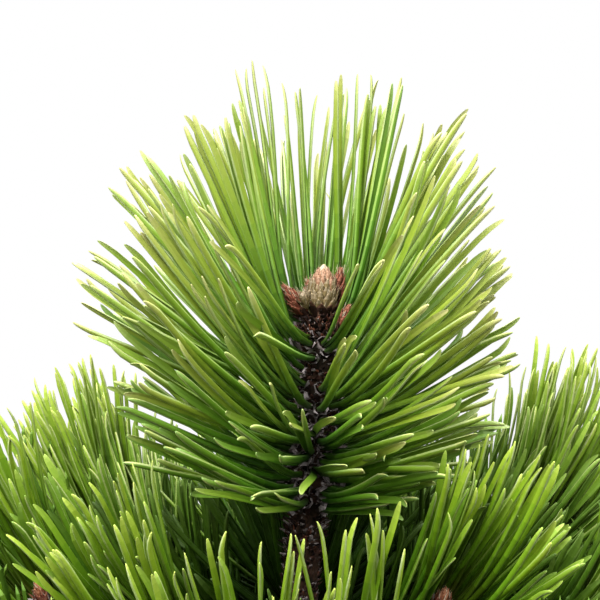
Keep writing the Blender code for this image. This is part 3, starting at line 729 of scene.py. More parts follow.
FINE_NEEDLE = NeedleShape(half_width=0.00086, sheath_sides=6)
COARSE_NEEDLE = NeedleShape(
    half_width=0.00100,
    stations=(0.0, 0.12, 0.32, 0.58, 0.84, 0.965),
    section=((-1.0, 0.0), (-0.6, 0.8), (0.6, 0.8), (1.0, 0.0)),
    flat_from=3,
    margins=(),
    zone_ends=(0.12, 0.32, 0.58, 0.84, 0.965),
    sheath_sides=4,
)


@dataclass(frozen=True)
class Palette:
    """A tier's plain greens: each tint of a pair, and its margins, by zone from foot to tip.

    A zone's colour is the tint times the shade at its middle, read between the stops.
    The stops darken the lower zones as painted shade, and pale the tip to its real yellow.
    """

    name: str
    # The tints run from dark to pale and are dealt by the light a pair stands in, with some random jitter:
    # the darker ones are painted shade.
    tints: tuple[Colour, ...]
    margin: Colour
    shades: tuple[tuple[float, Colour], ...]
    sheen: float = 0.45
    roughness: float = 0.40
    palest: Colour = (0.290, 0.322, 0.098)
    # The sheen fades with a zone's painted shade, and for tints whose green is under a limit.
    least_sheen: float = 0.15
    sheen_limit: float = 0.09
    shaded: int = 0

    def finishes(self, shape: NeedleShape) -> list[Material]:
        """The materials, zone after zone and tint after tint, the margins last."""
        places = [place for place, _ in self.shades]
        factors = np.array([factor for _, factor in self.shades])
        middles = shape.zone_middles()
        shades = np.stack([np.interp(middles, places, factors[:, k]) for k in range(3)], axis=1)
        made = []
        for number, tint in enumerate((*self.tints, self.margin), 1):
            for zone, shade in enumerate(shades, 1):
                green = tuple(float(c) for c in np.minimum(np.array(tint) * shade, self.palest))
                gloss = self.sheen * float(min(1.0, self.least_sheen + shade[1]))
                gloss = gloss * min(1.0, tint[1] / self.sheen_limit)
                name = f"{self.name}_{number}_{zone}"
                made.append(NeedleFinish(name, green, gloss, self.roughness).make())
        return made


# In each palette the darker tints and the lower stops are painted shade; the paler tip stops are the needles'
# real yellow.
LEADER_GREENS = Palette(
    name="needle",
    tints=(
        (0.068, 0.146, 0.0052),
        (0.102, 0.174, 0.0074),
        (0.133, 0.184, 0.0098),
        (0.152, 0.196, 0.0140),
        (0.163, 0.207, 0.0155),
    ),
    margin=(0.192, 0.256, 0.0480),
    shades=(
        (0.04, (0.13, 0.22, 0.22)),
        (0.22, (0.26, 0.42, 0.34)),
        (0.45, (0.62, 0.82, 0.70)),
        (0.70, (1.00, 1.02, 1.25)),
        (0.90, (1.16, 1.04, 2.50)),
        (0.96, (1.42, 1.14, 4.60)),
        (0.99, (1.80, 1.34, 8.50)),
    ),
    sheen=0.42,
)
# The upper tier's greens: copies of one needle green, darker than the leader's, each shaded for the group of
# shoots it serves, as painted shade.
NEAR_GREENS = Palette(
    name="near_needle",
    tints=(
        (0.014, 0.032, 0.0015),
        (0.028, 0.068, 0.0022),
        (0.053, 0.117, 0.0032),
        (0.077, 0.150, 0.0042),
        (0.101, 0.174, 0.0052),
    ),
    margin=(0.120, 0.184, 0.0220),
    shades=(
        (0.05, (0.14, 0.12, 0.10)),
        (0.25, (0.16, 0.19, 0.12)),
        (0.45, (0.36, 0.46, 0.31)),
        (0.60, (0.64, 0.74, 0.60)),
        (0.72, (0.87, 0.91, 0.90)),
        (0.85, (1.15, 1.06, 1.60)),
        (0.96, (1.62, 1.30, 4.40)),
        (0.99, (2.40, 1.75, 9.50)),
    ),
    sheen=0.20,
    roughness=0.46,
    shaded=2,
)
FAR_GREENS = Palette(
    name="far_needle",
    tints=(
        (0.014, 0.030, 0.0015),
        (0.028, 0.060, 0.0026),
        (0.058, 0.114, 0.0050),
        (0.088, 0.154, 0.0070),
        (0.112, 0.178, 0.0084),
    ),
    margin=(0.140, 0.186, 0.0340),
    shades=(
        (0.05, (0.14, 0.12, 0.10)),
        (0.25, (0.15, 0.18, 0.12)),
        (0.45, (0.35, 0.45, 0.32)),
        (0.60, (0.58, 0.68, 0.58)),
        (0.72, (0.80, 0.86, 0.90)),
        (0.85, (1.10, 1.08, 1.50)),
        (0.96, (1.70, 1.42, 3.80)),
        (0.99, (2.40, 1.85, 8.00)),
    ),
    sheen=0.16,
    roughness=0.52,
    shaded=2,
)
# The lower tiers' greens: partly the darker green of older needles, partly painted shade under the upper
# shoots.
OLD_AND_SHADED_GREENS = Palette(
    name="old_shaded_needle",
    tints=((0.012, 0.032, 0.0014), (0.021, 0.050, 0.0020), (0.032, 0.068, 0.0026)),
    margin=(0.032, 0.068, 0.0026),
    shades=(
        (0.05, (0.22, 0.16, 0.14)),
        (0.25, (0.26, 0.26, 0.20)),
        (0.50, (0.42, 0.50, 0.48)),
        (0.75, (0.95, 0.98, 1.00)),
        (0.92, (1.30, 1.20, 2.00)),
        (0.98, (1.90, 1.60, 5.00)),
    ),
    sheen=0.12,
    roughness=0.60,
)


class Needles:
    """Gathers pairs of needles and their papery sheaths."""

    def __init__(self, shape: NeedleShape, palette: Palette) -> None:
        """Starts with nothing gathered."""
        self.shape = shape
        self.tints = len(palette.tints)
        self.shaded = palette.shaded
        self.zones = len(shape.zone_ends) + 1
        self.batch = Batch()
        self.sheaths = Batch()

    def sample(self, lines: Array, shares: Sequence[float]) -> Array:
        """The points of each line at these shares of its length."""
        at = np.asarray(shares) * (lines.shape[1] - 1)
        low = np.minimum(at.astype(int), lines.shape[1] - 2)
        weight = (at - low)[None, :, None]
        return lines[:, low] * (1 - weight) + lines[:, low + 1] * weight

    def add_pairs(self, lines: Array, rng: np.random.Generator, light: Array) -> None:
        """Adds a pair of needles on each centreline.

        Each needle's line is the pair's line moved sideways by a gap that grows towards
        the tip; its flat side faces its twin.

        Args:
            lines: The pairs' centrelines.
            rng: The seeded source of the jitter.
            light: How much light each stands in, from 0, the palette's darkest tint, to 1.
        """
        count = len(lines)
        if not count:
            return
        shape = self.shape
        stations = np.array([*shape.stations, 1.0])
        heading = unit(np.gradient(lines, axis=1))
        tint = np.floor(light * self.tints + rng.uniform(-shape.tint_jitter, shape.tint_jitter, count))
        tint = np.clip(tint, 0, self.tints - 1).astype(int)
        heading = unit(self.sample(heading, stations))
        across, over = across_and_over(heading[:, len(stations) // 2])
        apart = around(across, over, rng.uniform(-shape.twist, shape.twist, count))[:, None]
        parting = rng.uniform(*shape.parting, count)[:, None]
        gap = shape.foot_gap + parting * stations[None, :] ** shape.parting_power
        bowed, hooked = shape.stray(stations)
        for side in (-1.0, 1.0):
            centres = self.sample(self.trim(lines, rng.uniform(shape.shortest, 1.0, count)), stations)
            away = unit(side * apart - heading * (side * apart * heading).sum(-1, keepdims=True))
            bend = rng.normal(0.0, 1.0, (2, count, 1)) * bowed
            bend = bend + rng.normal(0.0, shape.hook_spread, (2, count, 1)) * hooked
            centres = centres + away * gap[..., None]
            centres = centres + across[:, None] * bend[0][..., None] + over[:, None] * bend[1][..., None]
            self.add_needles(centres, heading, away, tint)

    def trim(self, lines: Array, share: Array) -> Array:
        """Each line cut to its own share of its length, with as many samples."""
        count, samples = lines.shape[:2]
        at = np.linspace(0, samples - 1, samples)[None] * share[:, None]
        low = np.minimum(at.astype(int), samples - 2)
        weight = (at - low)[..., None]
        rows = np.arange(count)[:, None]
        return lines[rows, low] * (1 - weight) + lines[rows, low + 1] * weight

    def add_needles(self, centres: Array, heading: Array, away: Array, tint: Array) -> None:
        """Adds one needle along each line of station centres.

        A point of the skin is the centre plus the section's x across and its y away
        from the twin, both times the needle's half width and swell.
        """
        shape = self.shape
        section = np.array(shape.section)
        rings = len(shape.stations)
        across = np.cross(heading, away)[:, :rings]
        size = (shape.half_width * shape.swell())[None, :, None, None]
        points = centres[:, :rings, None] + size * (
            across[:, :, None] * section[None, None, :, 0, None]
            + away[:, :rings, None] * section[None, None, :, 1, None]
        )
        sides = len(section)
        slots = (tint[:, None] * self.zones + shape.zones()[None])[..., None]
        slots = np.broadcast_to(slots, (len(centres), rings - 1, sides)).copy()
        edge = np.where(tint < self.shaded, tint, self.tints)
        for column in shape.margins:
            slots[..., column] = edge[:, None] * self.zones + shape.zones()[None]
        flat = np.zeros(sides, bool)
        flat[shape.flat_from :] = True
        self.batch.add_tubes(points, slots, flat=np.broadcast_to(flat, slots.shape))
        self.batch.add_fans(points[:, -1], centres[:, rings], tint * self.zones + self.zones - 1)

    def add_sheaths(self, lines: Array, rng: np.random.Generator) -> None:
        """Adds the short grey cup round each pair's foot, its rim uneven."""
        shape = self.shape
        count, sides = len(lines), shape.sheath_sides
        if not count:
            return
        heading = unit(lines[:, 3] - lines[:, 0])
        across, over = across_and_over(heading)
        tall = rng.uniform(*shape.sheath_length, count)
        outward = around(across[:, None], over[:, None], turns(sides)[None])
        rows, radii = np.array(shape.sheath_rows), np.array(shape.sheath_radii)
        climb = np.repeat(rows[None, :, None] * tall[:, None, None], sides, axis=2)
        climb[:, -1] += rng.uniform(*shape.sheath_rim, (count, sides)) * tall[:, None]
        points = lines[:, 0][:, None, None] + heading[:, None, None] * climb[..., None]
        swell = 1.0 + rng.uniform(-shape.sheath_dents, shape.sheath_dents, (count, len(rows), sides))
        points = points + outward[:, None] * (radii[None, :, None] * swell)[..., None]
        slots = np.array([0, 1, 2])[None, :, None] + rng.integers(-1, 2, (count, 3, sides))
        self.sheaths.add_tubes(points, np.clip(slots, 0, 2))


@dataclass(frozen=True)
class Pair:
    """One pair of needles on the leader, placed by where its tip shows.

    The foot is so far below the buds, and the tip so far to the right of it and above
    it as the photograph shows them; what is left of the length comes to the front.
    """

    below: float
    right: float
    above: float
    length: float = 0.066
    rise: float = 0.15
    straightness: float = 0.95
    root_pull: float = 0.20
    tip_pull: float = 0.45

    def line(self, axis: Axis, trunk: Trunk, samples: int) -> Array:
        """The centreline: a cubic curve that leaves the stem with its rise and bends to the tip.

        The tip lies across and up the picture from the foot, and forward by what is left
        of the chord after those two. The foot is on the side of the stem that faces it.
        """
        chord = self.length * self.straightness
        forward = math.sqrt(max(chord**2 - self.right**2 - self.above**2, 0.0))
        aim = np.array([self.right, 0.0, 0.0]) + self.above * PICTURE_UP + forward * TO_VIEWER
        out = unit(np.array([aim[0], aim[1], 0.0]))
        middle = axis.at(axis.length - self.below)[0]
        foot = middle + out * (float(trunk.bark_radius(middle[2])) - SUNK)
        tip = foot + aim
        leave = foot + unit(out + UP * self.rise) * self.length * self.root_pull
        arrive = tip - unit(aim) * self.length * self.tip_pull
        line = Axis(bezier(foot, leave, arrive, tip))
        return line.at(np.linspace(0, line.length, samples))


@dataclass(frozen=True)
class Gap:
    """An opening that the crown leaves towards the front, as slopes from the viewpoint."""

    across: float
    up: float
    half_width: float
    half_height: float
    nearer_than: float


@dataclass
class Plan:
    """Where every limb runs, by the solids' rule."""

    trunk: Trunk = Trunk()
    upper_buds: tuple[tuple[float, float, float, float, int, float], ...] = (
        (-84.0, 0.075, 0.127, 0.068, 66, 38.0),
        (-47.0, 0.047, 0.140, 0.057, 74, 40.0),
        (-4.0, 0.076, 0.121, 0.066, 126, 54.0),
        (37.0, 0.083, 0.131, 0.062, 210, 66.0),
        (90.0, 0.070, 0.133, 0.066, 330, 78.0),
        (141.0, 0.080, 0.129, 0.060, 190, 58.0),
        (191.0, 0.077, 0.134, 0.066, 114, 44.0),
        (229.0, 0.059, 0.129, 0.063, 94, 38.0),
        (255.0, 0.070, 0.119, 0.072, 86, 36.0),
    )
    lower_pairs: int = 74
    lower_needle: float = 0.070
    upper_root: float = 0.083
    upper_root_step: float = 0.009
    lower_root_step: float = 0.008
    upper_tilt: float = 22.0
    upper_foliage: float = 0.066
    lower_foliage: float = 0.084
    lower_twigs: int = 5
    tier_seed: int = 5
    tier_count: int = 6
    turn_jitter: float = 7.0
    place_jitter: float = 0.005
    bough_least: float = 0.012
    root_slant: float = 28.0
    root_depth: float = 0.5
    pull: float = 0.4
    # The first twig's place and length as shares of the foliage, and how much less each next has.
    twig_place: tuple[float, float] = (0.86, 0.15)
    twig_length: tuple[float, float] = (0.80, 0.09)
    twig_spread: float = 44.0
    twig_reach: tuple[float, float] = (0.62, 0.46)
    twig_rise: float = 0.30
    twig_lean: float = 0.35
    twig_pull: float = 0.35
    pot_rim: float = 0.0910
    pot_height: float = 0.140
    rim_width: float = 0.012
    rim_clearance: float = 0.003
    top_clearance: float = 0.002
    soil_clearance: float = 0.004

    def __post_init__(self) -> None:
        """Lays out the shoots, their curves and their twigs."""
        self.shoots = self.upper_tier() + self.lower_tiers()
        self.axes = {shoot.name: self.shoot_axis(shoot) for shoot in self.shoots}
        self.twigs = {shoot.name: self.twig_axes(shoot) for shoot in self.shoots}
        self.stem = self.trunk.axis()

    def upper_tier(self) -> list[Shoot]:
        """The shoots that ring the photograph's lower edge, placed one by one."""
        return [
            Shoot(
                name=f"upper_{number}",
                tier=Tier.UPPER,
                azimuth=azimuth,
                reach=reach,
                height=height,
                root=self.upper_root + self.upper_root_step * (number % 3),
                tilt=self.upper_tilt,
                foliage=self.upper_foliage,
                twigs=0,
                needle=needle,
                pairs=pairs,
                opening=opening,
            )
            for number, (azimuth, reach, height, needle, pairs, opening) in enumerate(self.upper_buds, 1)
        ]

    def lower_tiers(self) -> list[Shoot]:
        """Two tiers of evenly turned shoots with the solids' jitter."""
        rng = np.random.default_rng(self.tier_seed)
        tiers = (
            (Tier.MIDDLE, -66.0, 0.098, 0.090, 0.052, 40.0),
            (Tier.LOWEST, -97.0, 0.104, 0.050, 0.022, 60.0),
        )
        made = []
        for tier, start, reach, height, root, tilt in tiers:
            for number in range(1, self.tier_count + 1):
                turn, further, higher = rng.uniform(-1.0, 1.0, 3)
                shoot = Shoot(
                    name=f"{tier.value}_{number}",
                    tier=tier,
                    azimuth=start + 360.0 / self.tier_count * (number - 1) + self.turn_jitter * turn,
                    reach=reach + self.place_jitter * further,
                    height=height + self.place_jitter * higher,
                    root=root + self.lower_root_step * (number % 2),
                    tilt=tilt,
                    foliage=self.lower_foliage,
                    twigs=self.lower_twigs,
                    needle=self.lower_needle,
                    pairs=self.lower_pairs,
                )
                made.append(shoot)
        return made

    def shoot_axis(self, shoot: Shoot) -> Axis:
        """A bough and its shoot as one curve from the trunk's side to the bud."""
        turn, slant, tilt = (math.radians(a) for a in (shoot.azimuth, self.root_slant, shoot.tilt))
        outward = np.array([math.cos(turn), math.sin(turn), 0.0])
        leave = outward * math.cos(slant) + UP * math.sin(slant)
        arrive = outward * math.sin(tilt) + UP * math.cos(tilt)
        root = self.trunk.soil_level + shoot.root
        start = self.trunk.centre(root) + outward * float(self.trunk.radius(root)) * self.root_depth
        end = outward * shoot.reach + UP * (self.trunk.soil_level + shoot.height)
        pull = self.pull * np.linalg.norm(end - start)
        return Axis(bezier(start, start + leave * pull, end - arrive * pull, end))

    def bare(self, shoot: Shoot) -> float:
        """How much of a shoot's curve is the bare bough."""
        return max(self.axes[shoot.name].length - shoot.foliage, self.bough_least)

    def twig_axes(self, shoot: Shoot) -> list[Axis]:
        """The side twigs of a shoot, by turns to its left and its right."""
        axis = self.axes[shoot.name]
        spread = math.radians(self.twig_spread)
        (place, place_less), (longest, length_less) = self.twig_place, self.twig_length
        made = []
        for number in range(shoot.twigs):
            at = axis.length - shoot.foliage * (place - place_less * number)
            start, tangent = axis.at(at)[0], axis.tangent(at)[0]
            side = unit(np.cross(UP, tangent)) * (1 if number % 2 == 0 else -1)
            leave = tangent * math.cos(spread) + side * math.sin(spread)
            length = shoot.foliage * (longest - length_less * number)
            rise = unit(UP * self.twig_rise + axis.tangent(axis.length)[0] + self.twig_lean * side)
            end = start + leave * length * self.twig_reach[0] + rise * length * self.twig_reach[1]
            pull = length * self.twig_pull
            made.append(Axis(bezier(start, start + leave * pull, end - rise * pull, end)))
        return made

    def limbs(self) -> Array:
        """Points on every trunk, bough, shoot and twig."""
        parts = [self.stem.points]
        parts += [axis.points for axis in self.axes.values()]
        parts += [twig.points for twigs in self.twigs.values() for twig in twigs]
        return np.concatenate(parts)

    def clear_of_pot(self, lines: Array) -> Array:
        """Which lines stay above the soil and outside the pot."""
        radius = np.hypot(lines[..., 0], lines[..., 1])
        floor = self.trunk.soil_level + self.soil_clearance
        over_rim = self.pot_height + self.top_clearance
        low = np.where(radius < self.pot_rim - self.rim_width, floor, over_rim)
        return ~((radius < self.pot_rim + self.rim_clearance) & (lines[..., 2] < low)).any(axis=1)


@dataclass(frozen=True)
class Stretch:
    """The part of a stem that carries foliage, and how many pairs are tried on it."""

    axis: Axis
    first: float
    last: float
    pairs: int
    radius: float


@dataclass
class Foliage:
    """All the plant's needles, by tier."""

    plan: Plan
    leader_seed: int = 3
    leader_pairs: int = 286
    twig_pairs: int = 50
    leader_rule: NeedleRule = NeedleRule(
        length=0.069,
        foot_length=0.62,
        opening=(66.0, 6.0),
        power=2.7,
        spread=6.5,
        flare=34.0,
        flare_fade=0.10,
        arch=1.0,
        arch_spread=14.0,
        lift=0.13,
        left_reach=0.10,
        crowding=0.86,
    )
    upper_rule: NeedleRule = NeedleRule(
        power=0.95,
        spread=7.0,
        flare=26.0,
        arch=3.0,
        lift=0.62,
        crowding=0.85,
    )
    closed: float = 8.0
    lower_rule: NeedleRule = NeedleRule()
    turn_jitter: float = 0.2
    leader_turn: float = 0.4
    leader_turn_jitter: float = 0.3
    leader_bare_tip: float = 0.003
    bare_tip: float = 0.006
    bare_foot: float = 0.002
    bare_share_of_twig: float = 0.24
    shoot_radius: float = 0.0030
    twig_radius: float = 0.0022
    # Lines keep so clear of other limbs, but for the points so near their own stem.
    limb_clearance: float = 0.0026
    near_own_stem: float = 0.004
    same_limb: float = 0.006
    crown_radius: float = 0.159
    cluster_radius: float = 0.0060
    cluster_height: float = 0.0155
    # The leader's front, so many degrees to each side, is kept for the listed pairs.
    front_half_width: float = 17.0
    # A leader's line is tested against the gaps from this sample on.
    front_from: int = 7
    front_pairs: tuple[Pair, ...] = (
        Pair(0.0236, 0.0060, 0.0160),
        Pair(0.0268, 0.0130, 0.0076),
        Pair(0.0325, 0.0105, 0.0095),
        Pair(0.0298, -0.0030, 0.0074),
        Pair(0.0352, -0.0047, 0.0145),
        Pair(0.0403, 0.0032, 0.0066),
        Pair(0.0409, 0.0150, 0.0070),
        Pair(0.0455, -0.0126, 0.0058),
        Pair(0.0495, -0.0080, 0.0047),
        Pair(0.0059, 0.0092, 0.0212),
        Pair(0.0097, -0.0180, 0.0113),
        Pair(0.0045, -0.0255, 0.0326),
        Pair(0.0060, -0.0210, 0.0274),
        Pair(0.0078, 0.0145, 0.0255),
        Pair(0.0180, 0.0063, 0.0150),
        Pair(0.0320, -0.0175, 0.0075),
        Pair(0.0365, -0.0120, 0.0040),
    )
    # Tips round the fan's outline, each placed as a Pair is: below, right and above.
    outline_tips: tuple[tuple[float, float, float], ...] = (
        (0.004, -0.0168, 0.0711),
        (0.006, -0.0125, 0.0716),
        (0.005, -0.0080, 0.0658),
        (0.003, 0.0030, 0.0668),
        (0.008, -0.0285, 0.0618),
        (0.010, -0.0325, 0.0618),
        (0.014, -0.0424, 0.0584),
        (0.012, -0.0487, 0.0518),
        (0.016, -0.0513, 0.0495),
        (0.022, -0.0558, 0.0392),
        (0.024, -0.0616, 0.0371),
        (0.028, -0.0600, 0.0295),
        (0.003, 0.0165, 0.0576),
        (0.004, 0.0082, 0.0626),
        (0.006, 0.0292, 0.0558),
        (0.009, 0.0324, 0.0582),
        (0.011, 0.0376, 0.0508),
        (0.015, 0.0416, 0.0495),
        (0.019, 0.0421, 0.0482),
        (0.026, 0.0468, 0.0392),
        (0.034, 0.0461, 0.0274),
        (0.022, -0.0455, 0.0240),
        (0.049, -0.0407, 0.0200),
        (0.050, -0.0335, 0.0190),
        (0.052, -0.0255, 0.0132),
        (0.038, 0.0425, 0.0226),
        (0.041, 0.0410, 0.0184),
        (0.044, 0.0355, 0.0147),
        (0.048, 0.0300, 0.0113),
    )
    outline_rise: float = 1.1
    outline_least: float = 0.060
    outline_slack: float = 1.01
    # How much light a pair stands in: by its share of the way up, and by how far below the bud.
    leader_light: tuple[tuple[float, ...], ...] = (
        (0.0, 0.3, 0.55, 0.8, 1.0),
        (0.0, 0.20, 0.45, 0.46, 0.22),
    )
    placed_light: tuple[tuple[float, ...], ...] = ((0.0, 0.02, 0.05), (0.50, 0.45, 0.15))
    leader_gaps: tuple[Gap, ...] = (
        Gap(0.0129, -0.098, 0.0140, 0.078, 0.440),
        Gap(0.0115, 0.000, 0.0215, 0.022, 0.4500),
        Gap(0.0655, 0.0906, 0.0047, 0.0082, 1.0),
        Gap(-0.0749, 0.0789, 0.0047, 0.0070, 1.0),
        Gap(-0.1023, 0.0439, 0.0050, 0.0045, 1.0),
        Gap(0.1041, 0.0421, 0.0050, 0.0040, 1.0),
        Gap(0.1199, -0.0029, 0.0045, 0.0045, 1.0),
        Gap(-0.0058, 0.0877, 0.0024, 0.0070, 1.0),
    )
    shoot_gaps: tuple[Gap, ...] = (
        Gap(0.0020, -0.121, 0.0210, 0.007, 0.440),
        Gap(0.0870, -0.176, 0.0060, 0.012, 0.430),
        Gap(-0.1560, -0.168, 0.0060, 0.012, 0.448),
    )
    # A shoot whose bud stands so far forward keeps its needles from pointing at the viewer.
    forward_bud: float = 0.02
    most_forward: float = 0.72

    def __post_init__(self) -> None:
        """Gathers the limbs' points and makes the sheaths' finishes."""
        self.limb_points = self.plan.limbs()
        self.sheath_papers = papers(
            sheath_foot=(0.020, 0.013, 0.011),
            sheath_side=(0.085, 0.069, 0.066),
            sheath_rim=(0.205, 0.180, 0.175),
        )

    def grow(
        self,
        needles: Needles,
        stretch: Stretch,
        rule: NeedleRule,
        seed: int,
        most_forward: float = 1.0,
    ) -> None:
        """Grows pairs on one stem, round it by the golden angle.

        A pair is left out where it would run into the pot, the soil or another limb,
        past the crown, or in front of a gap.

        Args:
            needles: Where they are gathered.
            stretch: The part of the stem that carries them.
            rule: How they stand.
            seed: Which jitter they get.
            most_forward: How straight at the viewer a pair may point, 1 for any way.
        """
        rng = np.random.default_rng(seed)
        axis, count = stretch.axis, stretch.pairs
        share = rule.shares(count)
        distance = stretch.first + (stretch.last - stretch.first) * share
        turn = GOLDEN_ANGLE * np.arange(count) + rng.uniform(0, math.tau)
        turn = turn + rng.uniform(-self.turn_jitter, self.turn_jitter, count)
        lines = rule.lines(axis, distance, turn, share, stretch.radius, rng)
        kept = self.plan.clear_of_pot(lines)
        body = lines[:, 8::6]
        own = nearest(body, axis.points)
        others = nearest(body, self.others(axis))
        kept &= ~((others < self.limb_clearance) & (own > self.near_own_stem)).any(axis=1)
        kept &= np.hypot(lines[..., 0], lines[..., 1]).max(axis=1) < self.crown_radius
        kept &= self.open_to_view(lines, self.shoot_gaps)
        kept &= self.forward(lines) <= most_forward
        # A pair's share up its stem stands for its light: the lower pairs get the darker tints, as painted
        # shade.
        needles.add_pairs(lines[kept], rng, share[kept])
        needles.add_sheaths(lines[kept], rng)

    def forward(self, lines: Array) -> Array:
        """How straight at the viewer each line points: its direction times the viewer's."""
        return unit(lines[:, -1] - lines[:, 0]) @ TO_VIEWER

    def open_to_view(self, lines: Array, gaps: Sequence[Gap]) -> Array:
        """Which lines leave every gap open: none of their points stands in front of it.

        A point's place across and up is its offset from the viewpoint over its distance.
        """
        away = lines - VIEWPOINT
        sine, cosine = PICTURE_UP[1:]
        ahead = away[..., 1] * cosine - away[..., 2] * sine
        across = away[..., 0] / ahead
        up = (away[..., 2] * cosine + away[..., 1] * sine) / ahead
        kept = np.ones(len(lines), bool)
        for gap in gaps:
            inside = (np.abs(across - gap.across) < gap.half_width) & (np.abs(up - gap.up) < gap.half_height)
            kept &= ~(inside & (ahead < gap.nearer_than)).any(axis=1)
        return kept

    def others(self, axis: Axis) -> Array:
        """Points on every limb but this one."""
        mine = nearest(self.limb_points, axis.points[::4]) < self.same_limb
        return self.limb_points[~mine]

    def build(self) -> list[Piece]:
        """Grows every tier and returns its pieces."""
        near, far = NEAR_GREENS, FAR_GREENS
        # Each group of shoots gets a palette shaded to suit it: painted shade.
        upper = ((near, (0, 1, 4)), (far, (2, 3, 5)), (near, (6, 7, 8)))
        lower = tuple((OLD_AND_SHADED_GREENS, group) for group in ((0, 1), (2, 3), (4, 5)))
        made = self.leader()
        made += self.tier(Tier.UPPER, FINE_NEEDLE, upper)
        made += self.tier(Tier.MIDDLE, COARSE_NEEDLE, lower)
        made += self.tier(Tier.LOWEST, COARSE_NEEDLE, lower)
        return made

    def leader(self) -> list[Piece]:
        """The leader's fan, with its front kept open but for the listed pairs."""
        trunk, axis, rule = self.plan.trunk, self.plan.stem, self.leader_rule
        shape = NeedleShape()
        needles = Needles(shape, LEADER_GREENS)
        rng = np.random.default_rng(self.leader_seed)
        count = self.leader_pairs
        share = rule.shares(count)
        first = axis.length - trunk.leader_foliage
        distance = first + (trunk.leader_foliage - self.leader_bare_tip) * share
        turn = GOLDEN_ANGLE * np.arange(count) + self.leader_turn
        turn = turn + rng.uniform(-self.leader_turn_jitter, self.leader_turn_jitter, count)
        radii = trunk.bark_radius(axis.at(distance)[:, 2])
        lines = rule.lines(axis, distance, turn, share, radii, rng)
        aim = lines[:, 12] - lines[:, 0]
        front = np.degrees(np.arctan2(aim[:, 0], -aim[:, 1]))
        kept = np.abs(front) > self.front_half_width
        kept &= self.clear_of_bud(lines)
        kept &= self.open_to_view(lines[:, self.front_from :], self.leader_gaps)
        light = np.interp(share[kept], *self.leader_light) + rng.uniform(0.0, 0.1, kept.sum())
        needles.add_pairs(lines[kept], rng, light)
        pairs = self.placed_pairs()
        placed = np.stack([pair.line(axis, trunk, rule.samples) for pair in pairs])
        needles.add_pairs(placed, rng, np.interp([pair.below for pair in pairs], *self.placed_light))
        lines = np.concatenate([lines[kept], placed])
        needles.add_sheaths(lines, rng)
        self.leader_feet = lines[:, 0]
        pieces = [needles.batch.piece("leader_foliage", LEADER_GREENS.finishes(shape))]
        pieces.append(needles.sheaths.piece("leader_sheaths", self.sheath_papers))
        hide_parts("leader_needles")
        return pieces

    def placed_pairs(self) -> list[Pair]:
        """The listed pairs: in front of the stem, and round the fan's outline."""
        outer = []
        for below, right, above in self.outline_tips:
            needed = self.outline_slack * math.hypot(right, above) / Pair.straightness
            length = max(self.outline_least, needed)
            outer.append(Pair(below, right, above, length, self.outline_rise * above / length))
        return [*self.front_pairs, *outer]

    def clear_of_bud(self, lines: Array) -> Array:
        """Which lines pass outside the cluster of buds."""
        away = lines - self.plan.trunk.centre(self.plan.trunk.top)
        radius = np.hypot(away[..., 0], away[..., 1])
        beside = (away[..., 2] > -0.001) & (away[..., 2] < self.cluster_height)
        return ~(beside & (radius < self.cluster_radius)).any(axis=1)

    def tier(
        self,
        tier: Tier,
        shape: NeedleShape,
        groups: Sequence[tuple[Palette, Sequence[int]]],
    ) -> list[Piece]:
        """One tier's needles, joined into a piece for each group of shoots, and its sheaths.

        Args:
            tier: Which tier.
            shape: Its needles' shape.
            groups: The palette of each group, and the shoots in it.

        Returns:
            The new pieces.
        """
        shoots = [shoot for shoot in self.plan.shoots if shoot.tier is tier]
        palettes = dict.fromkeys(palette for palette, _ in groups)
        finishes = {palette: palette.finishes(shape) for palette in palettes}
        pieces = []
        sheaths = Batch()
        for number, (palette, group) in enumerate(groups, 1):
            needles = Needles(shape, palette)
            needles.sheaths = sheaths
            for index in group:
                self.grow_shoot(needles, shoots[index])
            LOG.info("%s foliage %d: %d triangles", tier.value, number, needles.batch.triangles())
            piece = needles.batch.piece(f"{tier.value}_foliage_{number}", finishes[palette])
            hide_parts(*(self.node_name(shoots[index]) for index in group))
            pieces.append(piece)
        cups = sheaths.piece(f"{tier.value}_sheaths", self.sheath_papers)
        return [*pieces, cups]

    def node_name(self, shoot: Shoot) -> str:
        """The name of a shoot's mass among the solids."""
        return shoot.name.replace("_", "_needles_")

    def grow_shoot(self, needles: Needles, shoot: Shoot) -> None:
        """One shoot's needles and those of its twigs."""
        plan = self.plan
        axis = plan.axes[shoot.name]
        seed = 100 + 10 * plan.shoots.index(shoot)
        depth = shoot.reach * math.sin(math.radians(shoot.azimuth))
        rule = replace(self.lower_rule, length=shoot.needle)
        if shoot.tier is Tier.UPPER:
            rule = replace(self.upper_rule, length=shoot.needle, opening=(shoot.opening, self.closed))
        most = self.most_forward if shoot.tier is Tier.UPPER and depth < -self.forward_bud else 1.0
        first, last = plan.bare(shoot) + self.bare_foot, axis.length - self.bare_tip
        self.grow(needles, Stretch(axis, first, last, shoot.pairs, self.shoot_radius), rule, seed, most)
        for order, twig in enumerate(plan.twigs[shoot.name], 1):
            first, last = twig.length * self.bare_share_of_twig, twig.length - self.bare_tip
            stretch = Stretch(twig, first, last, self.twig_pairs, self.twig_radius)
            self.grow(needles, stretch, rule, seed + order)


